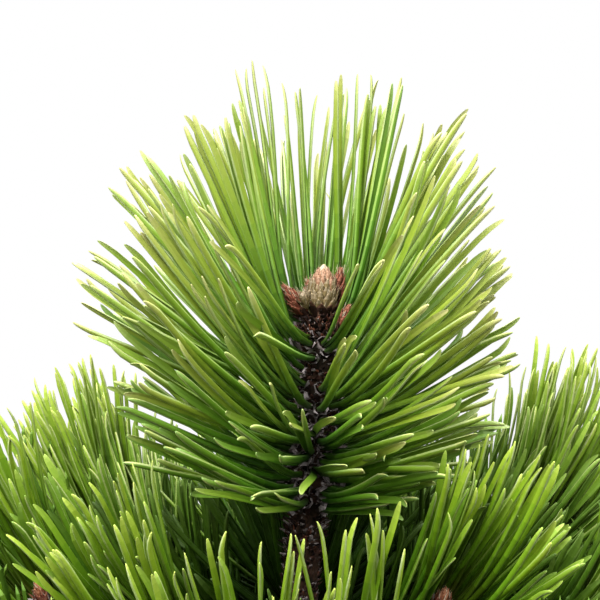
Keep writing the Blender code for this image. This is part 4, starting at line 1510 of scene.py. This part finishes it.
@dataclass(frozen=True)
class ScaleShape:
    """A pointed papery scale: a thin closed shell, cupped across and curled at its tip."""

    half_columns: int = 4
    rows: int = 5
    thickness: float = 0.00008
    cup: float = 0.30

    def add(
        self,
        batch: Batch,
        feet: Array,
        frames: tuple[Array, Array],
        sizes: tuple[Array, Array],
        leans: tuple[Array, Array],
        slots: tuple[Array, Array],
        rng: np.random.Generator,
    ) -> None:
        """Adds scales to a batch.

        The half width is a power of a sine of the share climbed, wide at a third. A
        point is the foot, plus its width across, plus the climb along the tilted
        scale, plus the curl outwards by the cube of the share, less the cup by the
        square of the place across; the back lies a thickness behind the front.

        Args:
            batch: Where they are gathered.
            feet: The scales' feet.
            frames: The direction that each climbs in, and the one away from the bud.
            sizes: Each scale's length and greatest half width.
            leans: How far each leans out, in radians, and how far its tip curls out.
            slots: The finish of each scale's middle, and that of its fringe.
            rng: The seeded source of the ragged edge.
        """
        count = len(feet)
        upward, outward = frames
        length, half_width = (size[:, None, None] for size in sizes)
        tilt, curl = (lean[:, None, None] for lean in leans)
        front = np.linspace(1, -1, self.half_columns)
        back = np.linspace(-1, 1, self.half_columns)[1:-1]
        u = np.concatenate([front, back])[None, None, :]
        behind = np.concatenate([np.zeros(len(front)), np.ones(len(back))])[None, None, :]
        v = np.linspace(0, 1, self.rows)[None, :, None]
        lateral = np.cross(upward, outward)
        width = np.sin(math.pi * (0.24 + 0.70 * v)) ** 0.8 * half_width
        ragged = 1 + 0.3 * rng.uniform(-1, 1, (count, self.rows, u.shape[2])) * (np.abs(u) > 0.9)
        side = u * width * ragged
        climb = v * length * np.cos(tilt)
        out = v * length * np.sin(tilt) + curl * length * v**3 - self.cup * u**2 * width
        out = out - behind * self.thickness
        points = (
            feet[:, None, None]
            + lateral[:, None, None] * side[..., None]
            + upward[:, None, None] * climb[..., None]
            + outward[:, None, None] * out[..., None]
        )
        middle, fringe = slots
        columns = u.shape[2]
        chosen = np.broadcast_to(middle[:, None, None], (count, self.rows - 1, columns)).copy()
        chosen[:, -1] = fringe[:, None]
        batch.add_tubes(points, chosen)
        tips = points[:, -1].mean(axis=1) + upward * sizes[0][:, None] * 0.10
        batch.add_fans(points[:, -1], tips, fringe)
        batch.add_fans(points[:, 0], points[:, 0].mean(axis=1), middle, reverse=True)


PLAIN_SCALE = ScaleShape(half_columns=3, rows=4)
STRAND = ScaleShape(half_columns=3, rows=3, thickness=0.00006)


@dataclass(frozen=True)
class BudShape:
    """A bud's size and how its scales stand."""

    length: float
    radius: float
    scales: int
    scale_length: tuple[float, float]
    scale_width: tuple[float, float]
    ruffle: float
    closed_from: float
    threads: float = 0.7

    def core_radius(self, share: Array) -> Array:
        """The core's radius at a share of its length: full at a third, and pointed."""
        places = (0.0, 0.12, 0.35, 0.55, 0.72, 0.86, 0.95, 1.0)
        sizes = (0.66, 0.90, 1.0, 0.92, 0.68, 0.45, 0.29, 0.10)
        return self.radius * np.interp(share, places, sizes)


@dataclass
class Buds:
    """The leader's cluster of buds, and a bud on every shoot and twig."""

    plan: Plan
    main: BudShape = BudShape(0.0142, 0.0042, 130, (0.0048, 0.0030), (0.00125, 0.00080), 0.02, 0.76)
    side: BudShape = BudShape(0.0100, 0.0020, 52, (0.0036, 0.0024), (0.00100, 0.00065), 0.03, 0.88)
    twig: BudShape = BudShape(0.0090, 0.0022, 44, (0.0042, 0.0026), (0.0010, 0.0007), 0.06, 0.85)
    plain: BudShape = BudShape(0.0090, 0.0022, 18, (0.0042, 0.0030), (0.0017, 0.0012), 0.12, 0.85, 0.0)
    # A bud's core has this many rows and as many columns.
    core_grid: int = 14
    core_share: float = 0.93
    core_tip: float = 1.01
    core_zones: tuple[float, ...] = (0.08, 0.55, 0.80)
    scale_zones: tuple[float, ...] = (0.07, 0.50, 0.80)
    zone_jitter: float = 0.06
    foot_share: float = 0.96
    crowding: float = 0.92
    turn_jitter: float = 0.12
    slope_reach: float = 0.02
    size_spread: tuple[float, float] = (0.85, 1.1)
    # Scales near the tip are cut to the room that is left, down to a least share.
    tip_room: float = 1.15
    least_closing: float = 0.18
    closing_power: float = 0.6
    loose_fade: float = 0.12
    least_tilt: float = 0.03
    tilt_spread: tuple[float, float] = (0.5, 1.3)
    curl_share: float = 0.5
    curl_spread: tuple[float, float] = (0.2, 1.3)
    plain_up_to: int = 50
    collar_scales: int = 150
    collar_height: float = 0.0100
    collar_radius: float = 0.0038
    collar_top: float = 0.0016
    collar_jitter: float = 0.0005
    collar_turn: float = 0.45
    collar_sizes: Limits = ((0.0030, 0.0056), (0.0005, 0.0010))
    collar_leans: Limits = ((0.00, 0.30), (-0.10, 0.40))
    thread_turn: float = 0.22
    thread_aside: float = 0.0006
    thread_up: float = 0.0008
    thread_out: float = 0.00022
    thread_sizes: Limits = ((0.0010, 0.0026), (0.00005, 0.00011))
    thread_leans: Limits = ((0.0, 0.12), (0.0, 0.30))
    pale_threads: float = 0.6

    def finishes(self) -> list[Material]:
        """The scales' colours from the foot to the tip, the reds, and a fringe for each."""
        return papers(
            bud_foot=(0.016, 0.0075, 0.0050),
            bud_olive=(0.100, 0.072, 0.031),
            bud_pink=(0.148, 0.078, 0.044),
            bud_cream=(0.300, 0.235, 0.160),
            bud_red=(0.080, 0.023, 0.013),
            bud_rust=(0.145, 0.050, 0.022),
            fringe_dark=(0.048, 0.022, 0.014),
            fringe_tan=(0.170, 0.130, 0.078),
            fringe_pink=(0.225, 0.130, 0.084),
            fringe_cream=(0.440, 0.350, 0.250),
            fringe_red=(0.150, 0.056, 0.034),
            fringe_rust=(0.230, 0.100, 0.052),
            thread=(0.380, 0.320, 0.230),
        )

    def add_bud(
        self,
        batch: Batch,
        foot: Array,
        direction: Array,
        shape: BudShape,
        zones: tuple[int, ...],
        seed: int,
    ) -> None:
        """Adds one bud: a solid core, and scales that stand on it by the golden angle.

        Args:
            batch: Where it is gathered.
            foot: The middle of its foot.
            direction: Where it points.
            shape: Its sizes.
            zones: The finishes of its scales from the foot to the tip.
            seed: Which jitter it gets.
        """
        rng = np.random.default_rng(seed)
        direction = unit(np.asarray(direction, float))
        across, over = (v[0] for v in across_and_over(direction[None]))
        rows = np.linspace(0, 1, self.core_grid)
        ring = around(across, over, turns(self.core_grid))
        core = foot + direction * (rows * shape.length)[:, None, None]
        core = core + ring[None] * (shape.core_radius(rows) * self.core_share)[:, None, None]
        core_slots = np.array(zones)[np.searchsorted(self.core_zones, (rows[1:] + rows[:-1]) / 2)]
        batch.add_tubes(core[None], core_slots[None, :, None])
        batch.add_fans(core[-1:], foot[None] + direction * shape.length * self.core_tip, zones[-1])
        batch.add_fans(core[:1], foot[None], zones[0], reverse=True)

        count = shape.scales
        share = shape.closed_from * ((np.arange(count) + 0.5) / count) ** self.crowding
        angle = GOLDEN_ANGLE * np.arange(count) + rng.uniform(-self.turn_jitter, self.turn_jitter, count)
        outward = around(across, over, angle)
        reach = self.slope_reach
        narrowing = shape.core_radius(share + reach) - shape.core_radius(share - reach)
        slope = narrowing / (2 * reach * shape.length)
        upward = unit(direction + outward * slope[:, None])
        facing = unit(outward - upward * (outward * upward).sum(1, keepdims=True))
        feet = foot + direction * (share * shape.length)[:, None]
        feet = feet + outward * (shape.core_radius(share) * self.foot_share)[:, None]
        size = rng.uniform(*self.size_spread, count)
        length = np.interp(share, (0, 1), shape.scale_length) * size
        room = (1.0 - share) * shape.length * self.tip_room
        closing = np.clip(room / length, self.least_closing, 1.0)
        length = length * closing
        width = np.interp(share, (0, 1), shape.scale_width) * size * closing**self.closing_power
        loose = np.clip((shape.closed_from - share) / self.loose_fade, 0.0, 1.0)
        tilt = (self.least_tilt + shape.ruffle * loose) * rng.uniform(*self.tilt_spread, count)
        curl = self.curl_share * shape.ruffle * loose * rng.uniform(*self.curl_spread, count)
        jitter = rng.uniform(-self.zone_jitter, self.zone_jitter, count)
        middle = np.array(zones)[np.searchsorted(self.scale_zones, share + jitter)]
        scale = ScaleShape() if count > self.plain_up_to else PLAIN_SCALE
        frames, slots = (upward, facing), (middle, middle + FRINGE_OFFSET)
        scale.add(batch, feet, frames, (length, width), (tilt, curl), slots, rng)
        self.add_threads(batch, feet, frames, shape, rng)

    def add_threads(
        self,
        batch: Batch,
        feet: Array,
        frames: tuple[Array, Array],
        shape: BudShape,
        rng: np.random.Generator,
    ) -> None:
        """Adds pale resin-stuck hairs that lie up the bud, one or two a scale."""
        upward, outward = frames
        count = int(len(feet) * shape.threads)
        chosen = rng.integers(0, len(feet), count)
        lateral = np.cross(upward[chosen], outward[chosen])
        way = unit(around(upward[chosen], lateral, rng.normal(0.0, self.thread_turn, count)))
        aside = rng.normal(0.0, self.thread_aside, count)[:, None]
        start = feet[chosen] + lateral * aside + way * self.thread_up
        start = start + outward[chosen] * self.thread_out
        sizes = draws(rng, count, self.thread_sizes)
        leans = draws(rng, count, self.thread_leans)
        pale = rng.uniform(0, 1, count) < self.pale_threads
        slots = np.where(pale, THREAD, rng.integers(7, 9, count))
        STRAND.add(batch, start, (way, outward[chosen]), sizes, leans, (slots, slots), rng)

    def add_collar(self, batch: Batch) -> None:
        """Adds the dark scales that wrap the stem below the buds."""
        trunk = self.plan.trunk
        rng = np.random.default_rng(41)
        count = self.collar_scales
        heights = trunk.top + rng.uniform(-self.collar_height, -self.collar_top, count)
        turn = GOLDEN_ANGLE * np.arange(count)
        outward = level(turn)
        feet = trunk.centre(np.minimum(heights, trunk.top))
        feet[:, 2] = heights
        radius = self.collar_radius + rng.uniform(-self.collar_jitter, self.collar_jitter, count)
        feet = feet + outward * radius[:, None]
        lean = rng.uniform(-self.collar_turn, self.collar_turn, count)
        upward = around(UP, np.cross(UP, outward), lean)
        sizes = draws(rng, count, self.collar_sizes)
        leans = draws(rng, count, self.collar_leans)
        middle = rng.choice((0, 0, 0, 0, 4), count)
        slots = (middle, middle + FRINGE_OFFSET)
        PLAIN_SCALE.add(batch, feet, (upward, outward), sizes, leans, slots, rng)

    def build(self) -> list[Piece]:
        """Builds the leader's cluster and the shoots' buds."""
        finishes = self.finishes()
        cluster = Batch()
        foot = self.plan.trunk.centre(self.plan.trunk.top)
        leaning = np.array([0.07, 0.0, 1.0])
        self.add_bud(cluster, foot + UP * 0.0002, leaning, self.main, (0, 1, 2, 3), seed=1)
        self.add_collar(cluster)
        red, pale = (0, 4, 4, 5), (1, 1, 7, 3)
        beside = (
            ((-0.0038, -0.0012, 0.0014), (-0.58, -0.14, 0.78), 1.0, red),
            ((0.0036, 0.0016, 0.0036), (0.20, 0.16, 0.96), 0.95, red),
            ((0.0050, -0.0034, -0.0030), (0.30, -0.30, 0.91), 0.84, red),
            ((-0.0034, -0.0024, 0.0034), (-0.32, -0.26, 0.92), 0.42, pale),
            ((-0.0010, 0.0036, 0.0010), (-0.25, 0.55, 0.85), 0.9, red),
        )
        for number, (place, direction, size, zones) in enumerate(beside):
            shape = replace(
                self.side,
                length=self.side.length * size,
                radius=self.side.radius * size**0.5,
                scales=int(self.side.scales * size),
            )
            self.add_bud(cluster, foot + np.array(place), np.array(direction), shape, zones, seed=20 + number)
        main = cluster.piece("bud_cluster", finishes)
        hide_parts("leader_bud")
        others = Batch()
        for number, shoot in enumerate(self.plan.shoots):
            shape = self.twig if shoot.tier is Tier.UPPER else self.plain
            axes = [self.plan.axes[shoot.name], *self.plan.twigs[shoot.name]]
            for order, axis in enumerate(axes):
                start = axis.at(axis.length - self.twig.length)[0]
                way = axis.tangent(axis.length)[0]
                self.add_bud(others, start, way, shape, (0, 4, 5, 2), seed=100 + 10 * number + order)
        rest = others.piece("shoot_buds", finishes)
        LOG.info("buds: %d and %d triangles", cluster.triangles(), others.triangles())
        return [main, rest]


@dataclass
class Wood:
    """The trunk, boughs and twigs with their bark's relief."""

    plan: Plan
    leader_feet: Array
    trunk_columns: int = 84
    trunk_rows: int = 300
    ridge: float = 0.00045
    grain: float = 0.00018
    # How far round and along the trunk one wave of the relief runs.
    ridge_size: tuple[float, float] = (0.0032, 0.0055)
    grain_size: tuple[float, float] = (0.0011, 0.0016)
    cushion: float = 0.0007
    cushion_size: tuple[float, float] = (0.0017, 0.0013)
    cushion_below: float = 0.0008
    cushion_ring: float = 0.0050
    root_ridge: float = 0.0016
    root_height: float = 0.010
    bough_radii: tuple[float, float] = (0.0034, 0.0027)
    bough_grid: tuple[int, int] = (46, 14)
    twig_radii: tuple[float, float] = (0.0021, 0.0019)
    twig_grid: tuple[int, int] = (24, 8)
    scar_size: tuple[float, float] = (0.0022, 0.0030)
    scar_depth: float = 0.13
    inside_bud: float = 0.007
    bract_count: int = 2000
    bract_below: float = 0.036
    bract_above: float = 0.0015
    bract_crowding: float = 0.8
    bract_lift: float = 0.0001
    bract_turn: float = 1.1
    bract_sizes: Limits = ((0.0014, 0.0036), (0.00040, 0.00110))
    bract_leans: Limits = ((0.1, 1.0), (-0.3, 0.8))
    # The bracts lie flat at the foot, to this share, and are loose from this height on.
    least_loose: float = 0.25
    loose_from: float = 0.040

    def build(self) -> list[Piece]:
        """Builds the trunk, the limbs and the bracts."""
        bark = BarkFinish().make()
        return [self.trunk(bark), self.limbs(bark), self.bracts()]

    def trunk(self, bark: Material) -> Piece:
        """The trunk: its radius, plus a cushion under each pair, plus scaly ridges.

        A cushion is a Gaussian of the distance round and along from the pair's foot.
        """
        trunk = self.plan.trunk
        share = np.linspace(0, 1, self.trunk_rows)
        heights = trunk.soil_level - 0.002 + (trunk.height + 0.0025) * share
        above = np.maximum(heights, trunk.soil_level)
        turn = turns(self.trunk_columns)
        centres = trunk.centre(above)
        centres[:, 2] = heights
        radius = trunk.bark_radius(above)[:, None]
        rough, fine = (
            ripples(turn[None] * radius / size[0], heights[:, None] / size[1], seed)
            for seed, size in enumerate((self.ridge_size, self.grain_size), 4)
        )
        relief = self.ridge * (1 - np.abs(rough)) + self.grain * fine
        tall, wide = self.cushion_size
        for foot in self.leader_feet:
            middle = trunk.centre(foot[2])
            angle = math.atan2(foot[1] - middle[1], foot[0] - middle[0])
            sideways = np.angle(np.exp(1j * (turn - angle))) * self.cushion_ring
            along = heights - foot[2] + self.cushion_below
            swell = np.exp(-((along[:, None] / tall) ** 2) - (sideways[None] / wide) ** 2)
            relief += self.cushion * swell
        root = np.exp(-np.maximum(heights - trunk.soil_level, 0) / self.root_height)[:, None]
        relief += self.root_ridge * root * np.cos(5 * turn + 0.7)[None] * (1 + 0.3 * np.cos(3 * turn))[None]
        points = centres[:, None] + level(turn)[None] * (radius + relief)[..., None]
        batch = Batch()
        batch.add_closed_tube(points, centres[0], centres[-1] + UP * 0.0008)
        piece = batch.piece("trunk_bark", [bark], weld=True)
        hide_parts("trunk")
        LOG.info("trunk: %d triangles", batch.triangles())
        return piece

    def limb(
        self,
        batch: Batch,
        axis: Axis,
        radii: tuple[float, float],
        grid: tuple[int, int],
        seed: int,
    ) -> None:
        """Adds one limb: a round section along its line with needle scars as ripples.

        Args:
            batch: Where it is gathered.
            axis: Its centreline; the limb ends inside the bud at its tip.
            radii: Its radius at the foot and at its end.
            grid: How many rows and columns it has.
            seed: Which ripples it gets.
        """
        rows, columns = grid
        last = axis.length - self.inside_bud
        distance = np.linspace(0.0, last, rows)
        across, over = across_and_over(axis.tangent(distance))
        turn = turns(columns)[None]
        radius = np.interp(distance, (0.0, last), radii)[:, None]
        around_it, along_it = self.scar_size
        scars = ripples(turn * radius / around_it, distance[:, None] / along_it, seed, waves=12)
        radius = radius * (1 + self.scar_depth * scars)
        points = axis.at(distance)[:, None] + radius[..., None] * around(across[:, None], over[:, None], turn)
        batch.add_closed_tube(points, axis.at(0.0)[0], axis.at(last)[0])

    def limbs(self, bark: Material) -> Piece:
        """Every bough with its shoot's stem, and every twig."""
        plan = self.plan
        batch = Batch()
        for number, shoot in enumerate(plan.shoots):
            self.limb(batch, plan.axes[shoot.name], self.bough_radii, self.bough_grid, number)
            for order, twig in enumerate(plan.twigs[shoot.name]):
                self.limb(batch, twig, self.twig_radii, self.twig_grid, 50 + order)
        piece = batch.piece("boughs_and_twigs", [bark], weld=True)
        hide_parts(*(shoot.name.replace("_", "_bough_") for shoot in plan.shoots))
        LOG.info("limbs: %d triangles", batch.triangles())
        return piece

    def bracts(self) -> Piece:
        """The dark papery scales between the leader's needles."""
        trunk = self.plan.trunk
        rng = np.random.default_rng(8)
        count = self.bract_count
        lowest = trunk.top - trunk.leader_foliage - self.bract_below
        climbed = rng.uniform(0, 1, count) ** self.bract_crowding
        heights = lowest + (trunk.top + self.bract_above - lowest) * climbed
        outward = level(rng.uniform(0, math.tau, count))
        feet = trunk.centre(heights) + outward * (trunk.bark_radius(heights) + self.bract_lift)[:, None]
        lean = rng.uniform(-self.bract_turn, self.bract_turn, count)
        upward = around(UP, np.cross(UP, outward), lean)
        sizes = draws(rng, count, self.bract_sizes)
        loose = np.clip((heights - lowest) / self.loose_from, self.least_loose, 1.0)
        tilt, curl = draws(rng, count, self.bract_leans)
        leans = (tilt * loose, curl * loose)
        middle = rng.choice((0, 0, 0, 0, 1, 1, 2, 3), count)
        fringe = rng.choice((0, 1, 1, 3), count)
        batch = Batch()
        PLAIN_SCALE.add(batch, feet, (upward, outward), sizes, leans, (middle, fringe), rng)
        finishes = papers(
            bract_dark=(0.010, 0.006, 0.005),
            bract_brown=(0.030, 0.014, 0.010),
            bract_rust=(0.080, 0.028, 0.015),
            bract_edge=(0.125, 0.106, 0.101),
        )
        piece = batch.piece("bracts", finishes)
        return piece


@dataclass
class Pot:
    """The nursery pot: a turned wall with a stepped rim, ribs and drain holes."""

    height: float = 0.140
    rim_radius: float = 0.0875
    foot_radius: float = 0.0640
    wall: float = 0.0022
    rim_height: float = 0.013
    overhang: float = 0.0035
    bevel: float = 0.004
    roll: float = 0.0013
    rib_heights: tuple[float, ...] = (0.100, 0.093)
    rib_depth: float = 0.00035
    rib_width: float = 0.0012
    sides: int = 144
    holes: int = 8
    hole_radius: float = 0.006
    hole_ring: float = 0.048
    hole_sides: int = 32

    def profile(self) -> Array:
        """Radius and height down the outside, from the floor's middle up and back inside."""
        skirt = self.height - self.rim_height
        outer = self.foot_radius + (self.rim_radius - self.foot_radius) * skirt / self.height
        lip = self.rim_radius + self.overhang
        turn = np.linspace(0, math.pi / 2, 6)
        inward, raised = self.bevel * (1 - np.sin(turn)), self.bevel * (1 - np.cos(turn))
        foot = np.stack([self.foot_radius - inward, raised], axis=1)
        climb = np.linspace(self.bevel, skirt - 0.001, 26)[1:]
        side = np.interp(climb, (0.0, skirt), (self.foot_radius, outer))
        ribs = [np.exp(-(((climb - place) / self.rib_width) ** 2)) for place in self.rib_heights]
        wall = np.stack([side + sum(self.rib_depth * rib for rib in ribs), climb], axis=1)
        rim = np.array(
            [
                (outer + 0.0004, skirt - 0.0002),
                (outer + self.overhang - 0.0004, skirt + 0.0004),
                (outer + self.overhang, skirt + 0.0012),
                (lip - 0.0002, self.height - self.roll),
                (lip - 0.0005, self.height - 0.0004),
                (lip - 0.0012, self.height),
                (self.rim_radius - self.wall + 0.0012, self.height),
                (self.rim_radius - self.wall + 0.0004, self.height - 0.0004),
                (self.rim_radius - self.wall, self.height - self.roll),
                (outer - self.wall, skirt),
                (self.foot_radius - self.wall, self.wall + self.bevel),
                (self.foot_radius - self.wall - self.bevel, self.wall),
            ]
        )
        middle, further = 0.004, 0.020
        below = [(middle, 0.0), (further, 0.0)]
        inside = [(further, self.wall), (middle, self.wall)]
        return np.concatenate([below, foot, wall, rim, inside])

    def build(self) -> Piece:
        """Spins the profile, closes its middle and cuts the drain holes."""
        profile = self.profile()
        points = profile[:, None, :1] * level(turns(self.sides))[None] + profile[:, None, 1:] * UP
        batch = Batch()
        batch.add_tubes(points[None], 0)
        batch.add_fans(points[:1], np.zeros((1, 3)), 0, reverse=True)
        batch.add_fans(points[-1:], (UP * self.wall)[None], 0)
        pot = batch.piece("nursery_pot", [PlasticFinish().make()], weld=True)
        self.drill(pot)
        pot.data.set_sharp_from_angle(angle=math.radians(40))
        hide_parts("pot")
        LOG.info("pot: %d faces", len(pot.data.polygons))
        return pot

    def drill(self, pot: Piece) -> None:
        """Cuts a ring of round holes through the floor."""
        cutter = Batch()
        past = UP * 0.01
        for number in range(self.holes):
            angle = math.tau * (number + 0.5) / self.holes
            middle = np.array([self.hole_ring * math.cos(angle), self.hole_ring * math.sin(angle), 0.0])
            ring = middle + self.hole_radius * level(turns(self.hole_sides))
            cutter.add_closed_tube(np.stack([ring - past, ring + past]), middle - past, middle + past)
        tool = cutter.piece("drill", [], weld=True)
        cut = pot.modifiers.new("holes", "BOOLEAN")
        cut.operation = "DIFFERENCE"
        cut.object = tool
        graph = bpy.context.evaluated_depsgraph_get()
        drilled = bpy.data.meshes.new_from_object(pot.evaluated_get(graph))
        pot.modifiers.clear()
        pot.data = drilled
        bpy.data.objects.remove(tool)


@dataclass
class Soil:
    """The potting mix: a crumbly surface with bark chips and white grains on it."""

    level: float = 0.128
    radius: float = 0.0825
    floor: float = 0.0028
    rings: int = 70
    columns: int = 220
    chips: int = 900
    grains: int = 150

    def height(self, x: Array, y: Array) -> Array:
        """The surface's height: low swells, crumbs, and a rise to the trunk and the wall."""
        away = np.hypot(x, y)
        swell = 0.0011 * ripples(x / 0.030, y / 0.030, 31)
        crumb = 0.0006 * ripples(x / 0.0046, y / 0.0046, 32) + 0.0003 * ripples(x / 0.0019, y / 0.0019, 33)
        return self.level - 0.0006 + swell + crumb + 0.0016 * np.exp(-away / 0.012)

    def build(self) -> list[Piece]:
        """Builds the body of the soil and the bits that lie on it."""
        turn = turns(self.columns)
        away = self.radius * np.linspace(1, 0.01, self.rings) ** 0.8
        x, y = away[:, None] * np.cos(turn)[None], away[:, None] * np.sin(turn)[None]
        top = np.stack([x, y, self.height(x, y)], axis=2)
        body = ((0.0570, self.floor), (0.0608, 0.0080), (0.0815, self.level - 0.004))
        walls = np.stack([radius * level(turn) + UP * height for radius, height in body])
        batch = Batch()
        middle = UP * self.height(np.zeros(1), np.zeros(1))
        batch.add_closed_tube(np.concatenate([walls, top]), UP * self.floor, middle)
        soil = batch.piece("potting_mix", [SoilFinish().make()], weld=True)
        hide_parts("soil")
        bits = self.bits()
        LOG.info("soil: %d triangles", batch.triangles())
        return [soil, bits]

    def bits(self) -> Piece:
        """Bark chips and white grains: small boxes with pinched, jittered corners."""
        rng = np.random.default_rng(12)
        count = self.chips + self.grains
        away = (self.radius - 0.003) * np.sqrt(rng.uniform(0.02, 1, count))
        turn = rng.uniform(0, math.tau, count)
        x, y = away * np.cos(turn), away * np.sin(turn)
        middle = np.stack([x, y, self.height(x, y) + 0.0004], axis=1)
        long = rng.uniform(0.0016, 0.0060, count)
        wide = long * rng.uniform(0.35, 0.8, count)
        thick = long * rng.uniform(0.15, 0.4, count)
        grain = np.arange(count) >= self.chips
        size = rng.uniform(0.0009, 0.0020, count)
        long, wide, thick = (np.where(grain, size, value) for value in (long, wide, thick))
        levels = np.array([-0.5, -0.1, 0.5])
        swell = np.array([0.70, 1.0, 0.62])
        local = np.repeat(level(turns(6))[None, None] * swell[None, :, None, None], count, axis=0)
        local[..., 2] += levels[None, :, None]
        local += rng.uniform(-0.16, 0.16, local.shape)
        local *= np.stack([long / 2, wide / 2, thick], axis=1)[:, None, None]
        spin = rng.uniform(0, math.tau, count)
        tip = rng.uniform(-0.35, 0.35, count)
        cos, sin = np.cos(spin), np.sin(spin)
        turned_x = local[..., 0] * cos[:, None, None] - local[..., 1] * sin[:, None, None]
        turned_y = local[..., 0] * sin[:, None, None] + local[..., 1] * cos[:, None, None]
        lifted = local[..., 2] + turned_x * np.sin(tip)[:, None, None]
        points = middle[:, None, None] + np.stack([turned_x, turned_y, lifted], axis=-1)
        slot = np.where(grain, 3, rng.integers(0, 3, count))
        batch = Batch()
        batch.add_tubes(points, slot[:, None, None])
        batch.add_fans(points[:, -1], points[:, -1].mean(axis=1), slot)
        batch.add_fans(points[:, 0], points[:, 0].mean(axis=1), slot, reverse=True)
        finishes = papers(
            chip_dark=(0.030, 0.017, 0.011),
            chip_brown=(0.085, 0.047, 0.028),
            chip_tan=(0.190, 0.115, 0.068),
            grain_white=(0.720, 0.700, 0.660),
        )
        piece = batch.piece("chips_and_grains", finishes)
        return piece


@dataclass
class Studio:
    """The camera, the lights, the white surround and the pale floor."""

    lens: float = 102.6
    ceiling: float = 6.5
    horizon: float = 0.25
    floor_radius: float = 0.55
    floor_level: float = -0.0005
    lights_aim: tuple[float, float, float] = (0.0, 0.0, 0.26)

    def build(self) -> None:
        """Sets the whole studio up."""
        self.camera()
        self.surround()
        self.light("key", (-0.38, -0.56, 1.28), size=0.4, power=32.0)
        self.light("rim", (0.10, 0.55, 1.20), size=0.8, power=13.0)
        self.floor()

    def camera(self) -> None:
        """The camera, where the photograph was taken from."""
        data = bpy.data.cameras.new("camera")
        data.lens = self.lens
        data.sensor_width = 36.0
        data.clip_start = 0.01
        camera = bpy.data.objects.new("camera", data)
        tilt = Matrix.Rotation(math.radians(90 - LOOK_DOWN), 4, "X")
        camera.matrix_world = Matrix.Translation(Vector(VIEWPOINT)) @ tilt
        bpy.context.scene.collection.objects.link(camera)
        bpy.context.scene.camera = camera

    def surround(self) -> None:
        """A white world that is brighter overhead, like an overcast sky, shown as it is."""
        world = bpy.data.worlds.new("surround")
        world.use_nodes = True
        tree = world.node_tree
        back = tree.nodes["Background"]
        back.inputs["Color"].default_value = (1.0, 1.0, 1.0, 1.0)
        shown = tree.nodes.new("ShaderNodeBackground")
        shown.inputs["Color"].default_value = (1.0, 1.0, 1.0, 1.0)
        path = tree.nodes.new("ShaderNodeLightPath")
        both = tree.nodes.new("ShaderNodeMixShader")
        tree.links.new(path.outputs["Is Camera Ray"], both.inputs["Fac"])
        tree.links.new(back.outputs["Background"], both.inputs[1])
        tree.links.new(shown.outputs["Background"], both.inputs[2])
        tree.links.new(both.outputs["Shader"], tree.nodes["World Output"].inputs["Surface"])
        where = tree.nodes.new("ShaderNodeTexCoord")
        parts = tree.nodes.new("ShaderNodeSeparateXYZ")
        fade = tree.nodes.new("ShaderNodeMapRange")
        limits = {"From Min": 0.05, "From Max": 0.75, "To Min": self.horizon, "To Max": self.ceiling}
        for socket, value in limits.items():
            fade.inputs[socket].default_value = value
        tree.links.new(where.outputs["Generated"], parts.inputs["Vector"])
        tree.links.new(parts.outputs["Z"], fade.inputs["Value"])
        tree.links.new(fade.outputs["Result"], back.inputs["Strength"])
        bpy.context.scene.world = world
        bpy.context.scene.view_settings.view_transform = "Standard"
        bpy.context.scene.view_settings.look = "None"

    def light(self, name: str, place: tuple[float, float, float], size: float, power: float) -> None:
        """One square soft light, turned to the crown."""
        data = bpy.data.lights.new(name, "AREA")
        data.size = size
        data.energy = power
        light = bpy.data.objects.new(name, data)
        light.location = place
        aim = Vector(self.lights_aim) - Vector(place)
        light.rotation_euler = aim.to_track_quat("-Z", "Y").to_euler()
        bpy.context.scene.collection.objects.link(light)

    def floor(self) -> None:
        """A pale round floor with a faint grain."""
        nodes = Nodes("floor_pale")
        nodes.set(Base_Color=(0.72, 0.72, 0.72, 1.0), Specular_IOR_Level=0.1)
        nodes.gloss(nodes.noise((1.0, 1.0, 1.0), 300.0, 3.0), 0.8, 0.95)
        rows = np.stack([radius * level(turns(96)) for radius in (self.floor_radius, 0.1)])
        batch = Batch()
        batch.add_tubes(rows[None], 0)
        batch.add_fans(rows[-1:], np.zeros((1, 3)), 0)
        floor = batch.piece("floor", [nodes.material], weld=True)
        floor.data.transform(Matrix.Translation((0.0, 0.0, self.floor_level)))


def main() -> None:
    """Builds the studio and the plant, and rides every piece on the one body."""
    logging.basicConfig(level=logging.INFO, format="%(message)s")
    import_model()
    Studio().build()
    plan = Plan()
    foliage = Foliage(plan)
    pieces = foliage.build()
    pieces += Wood(plan, foliage.leader_feet).build()
    pieces += Buds(plan).build()
    pieces.append(Pot().build())
    pieces += Soil().build()
    for piece in pieces:
        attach(piece, "root")
        LOG.info("%s: %d faces", piece.name, len(piece.data.polygons))
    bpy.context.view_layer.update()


if __name__ == "__main__":
    main()
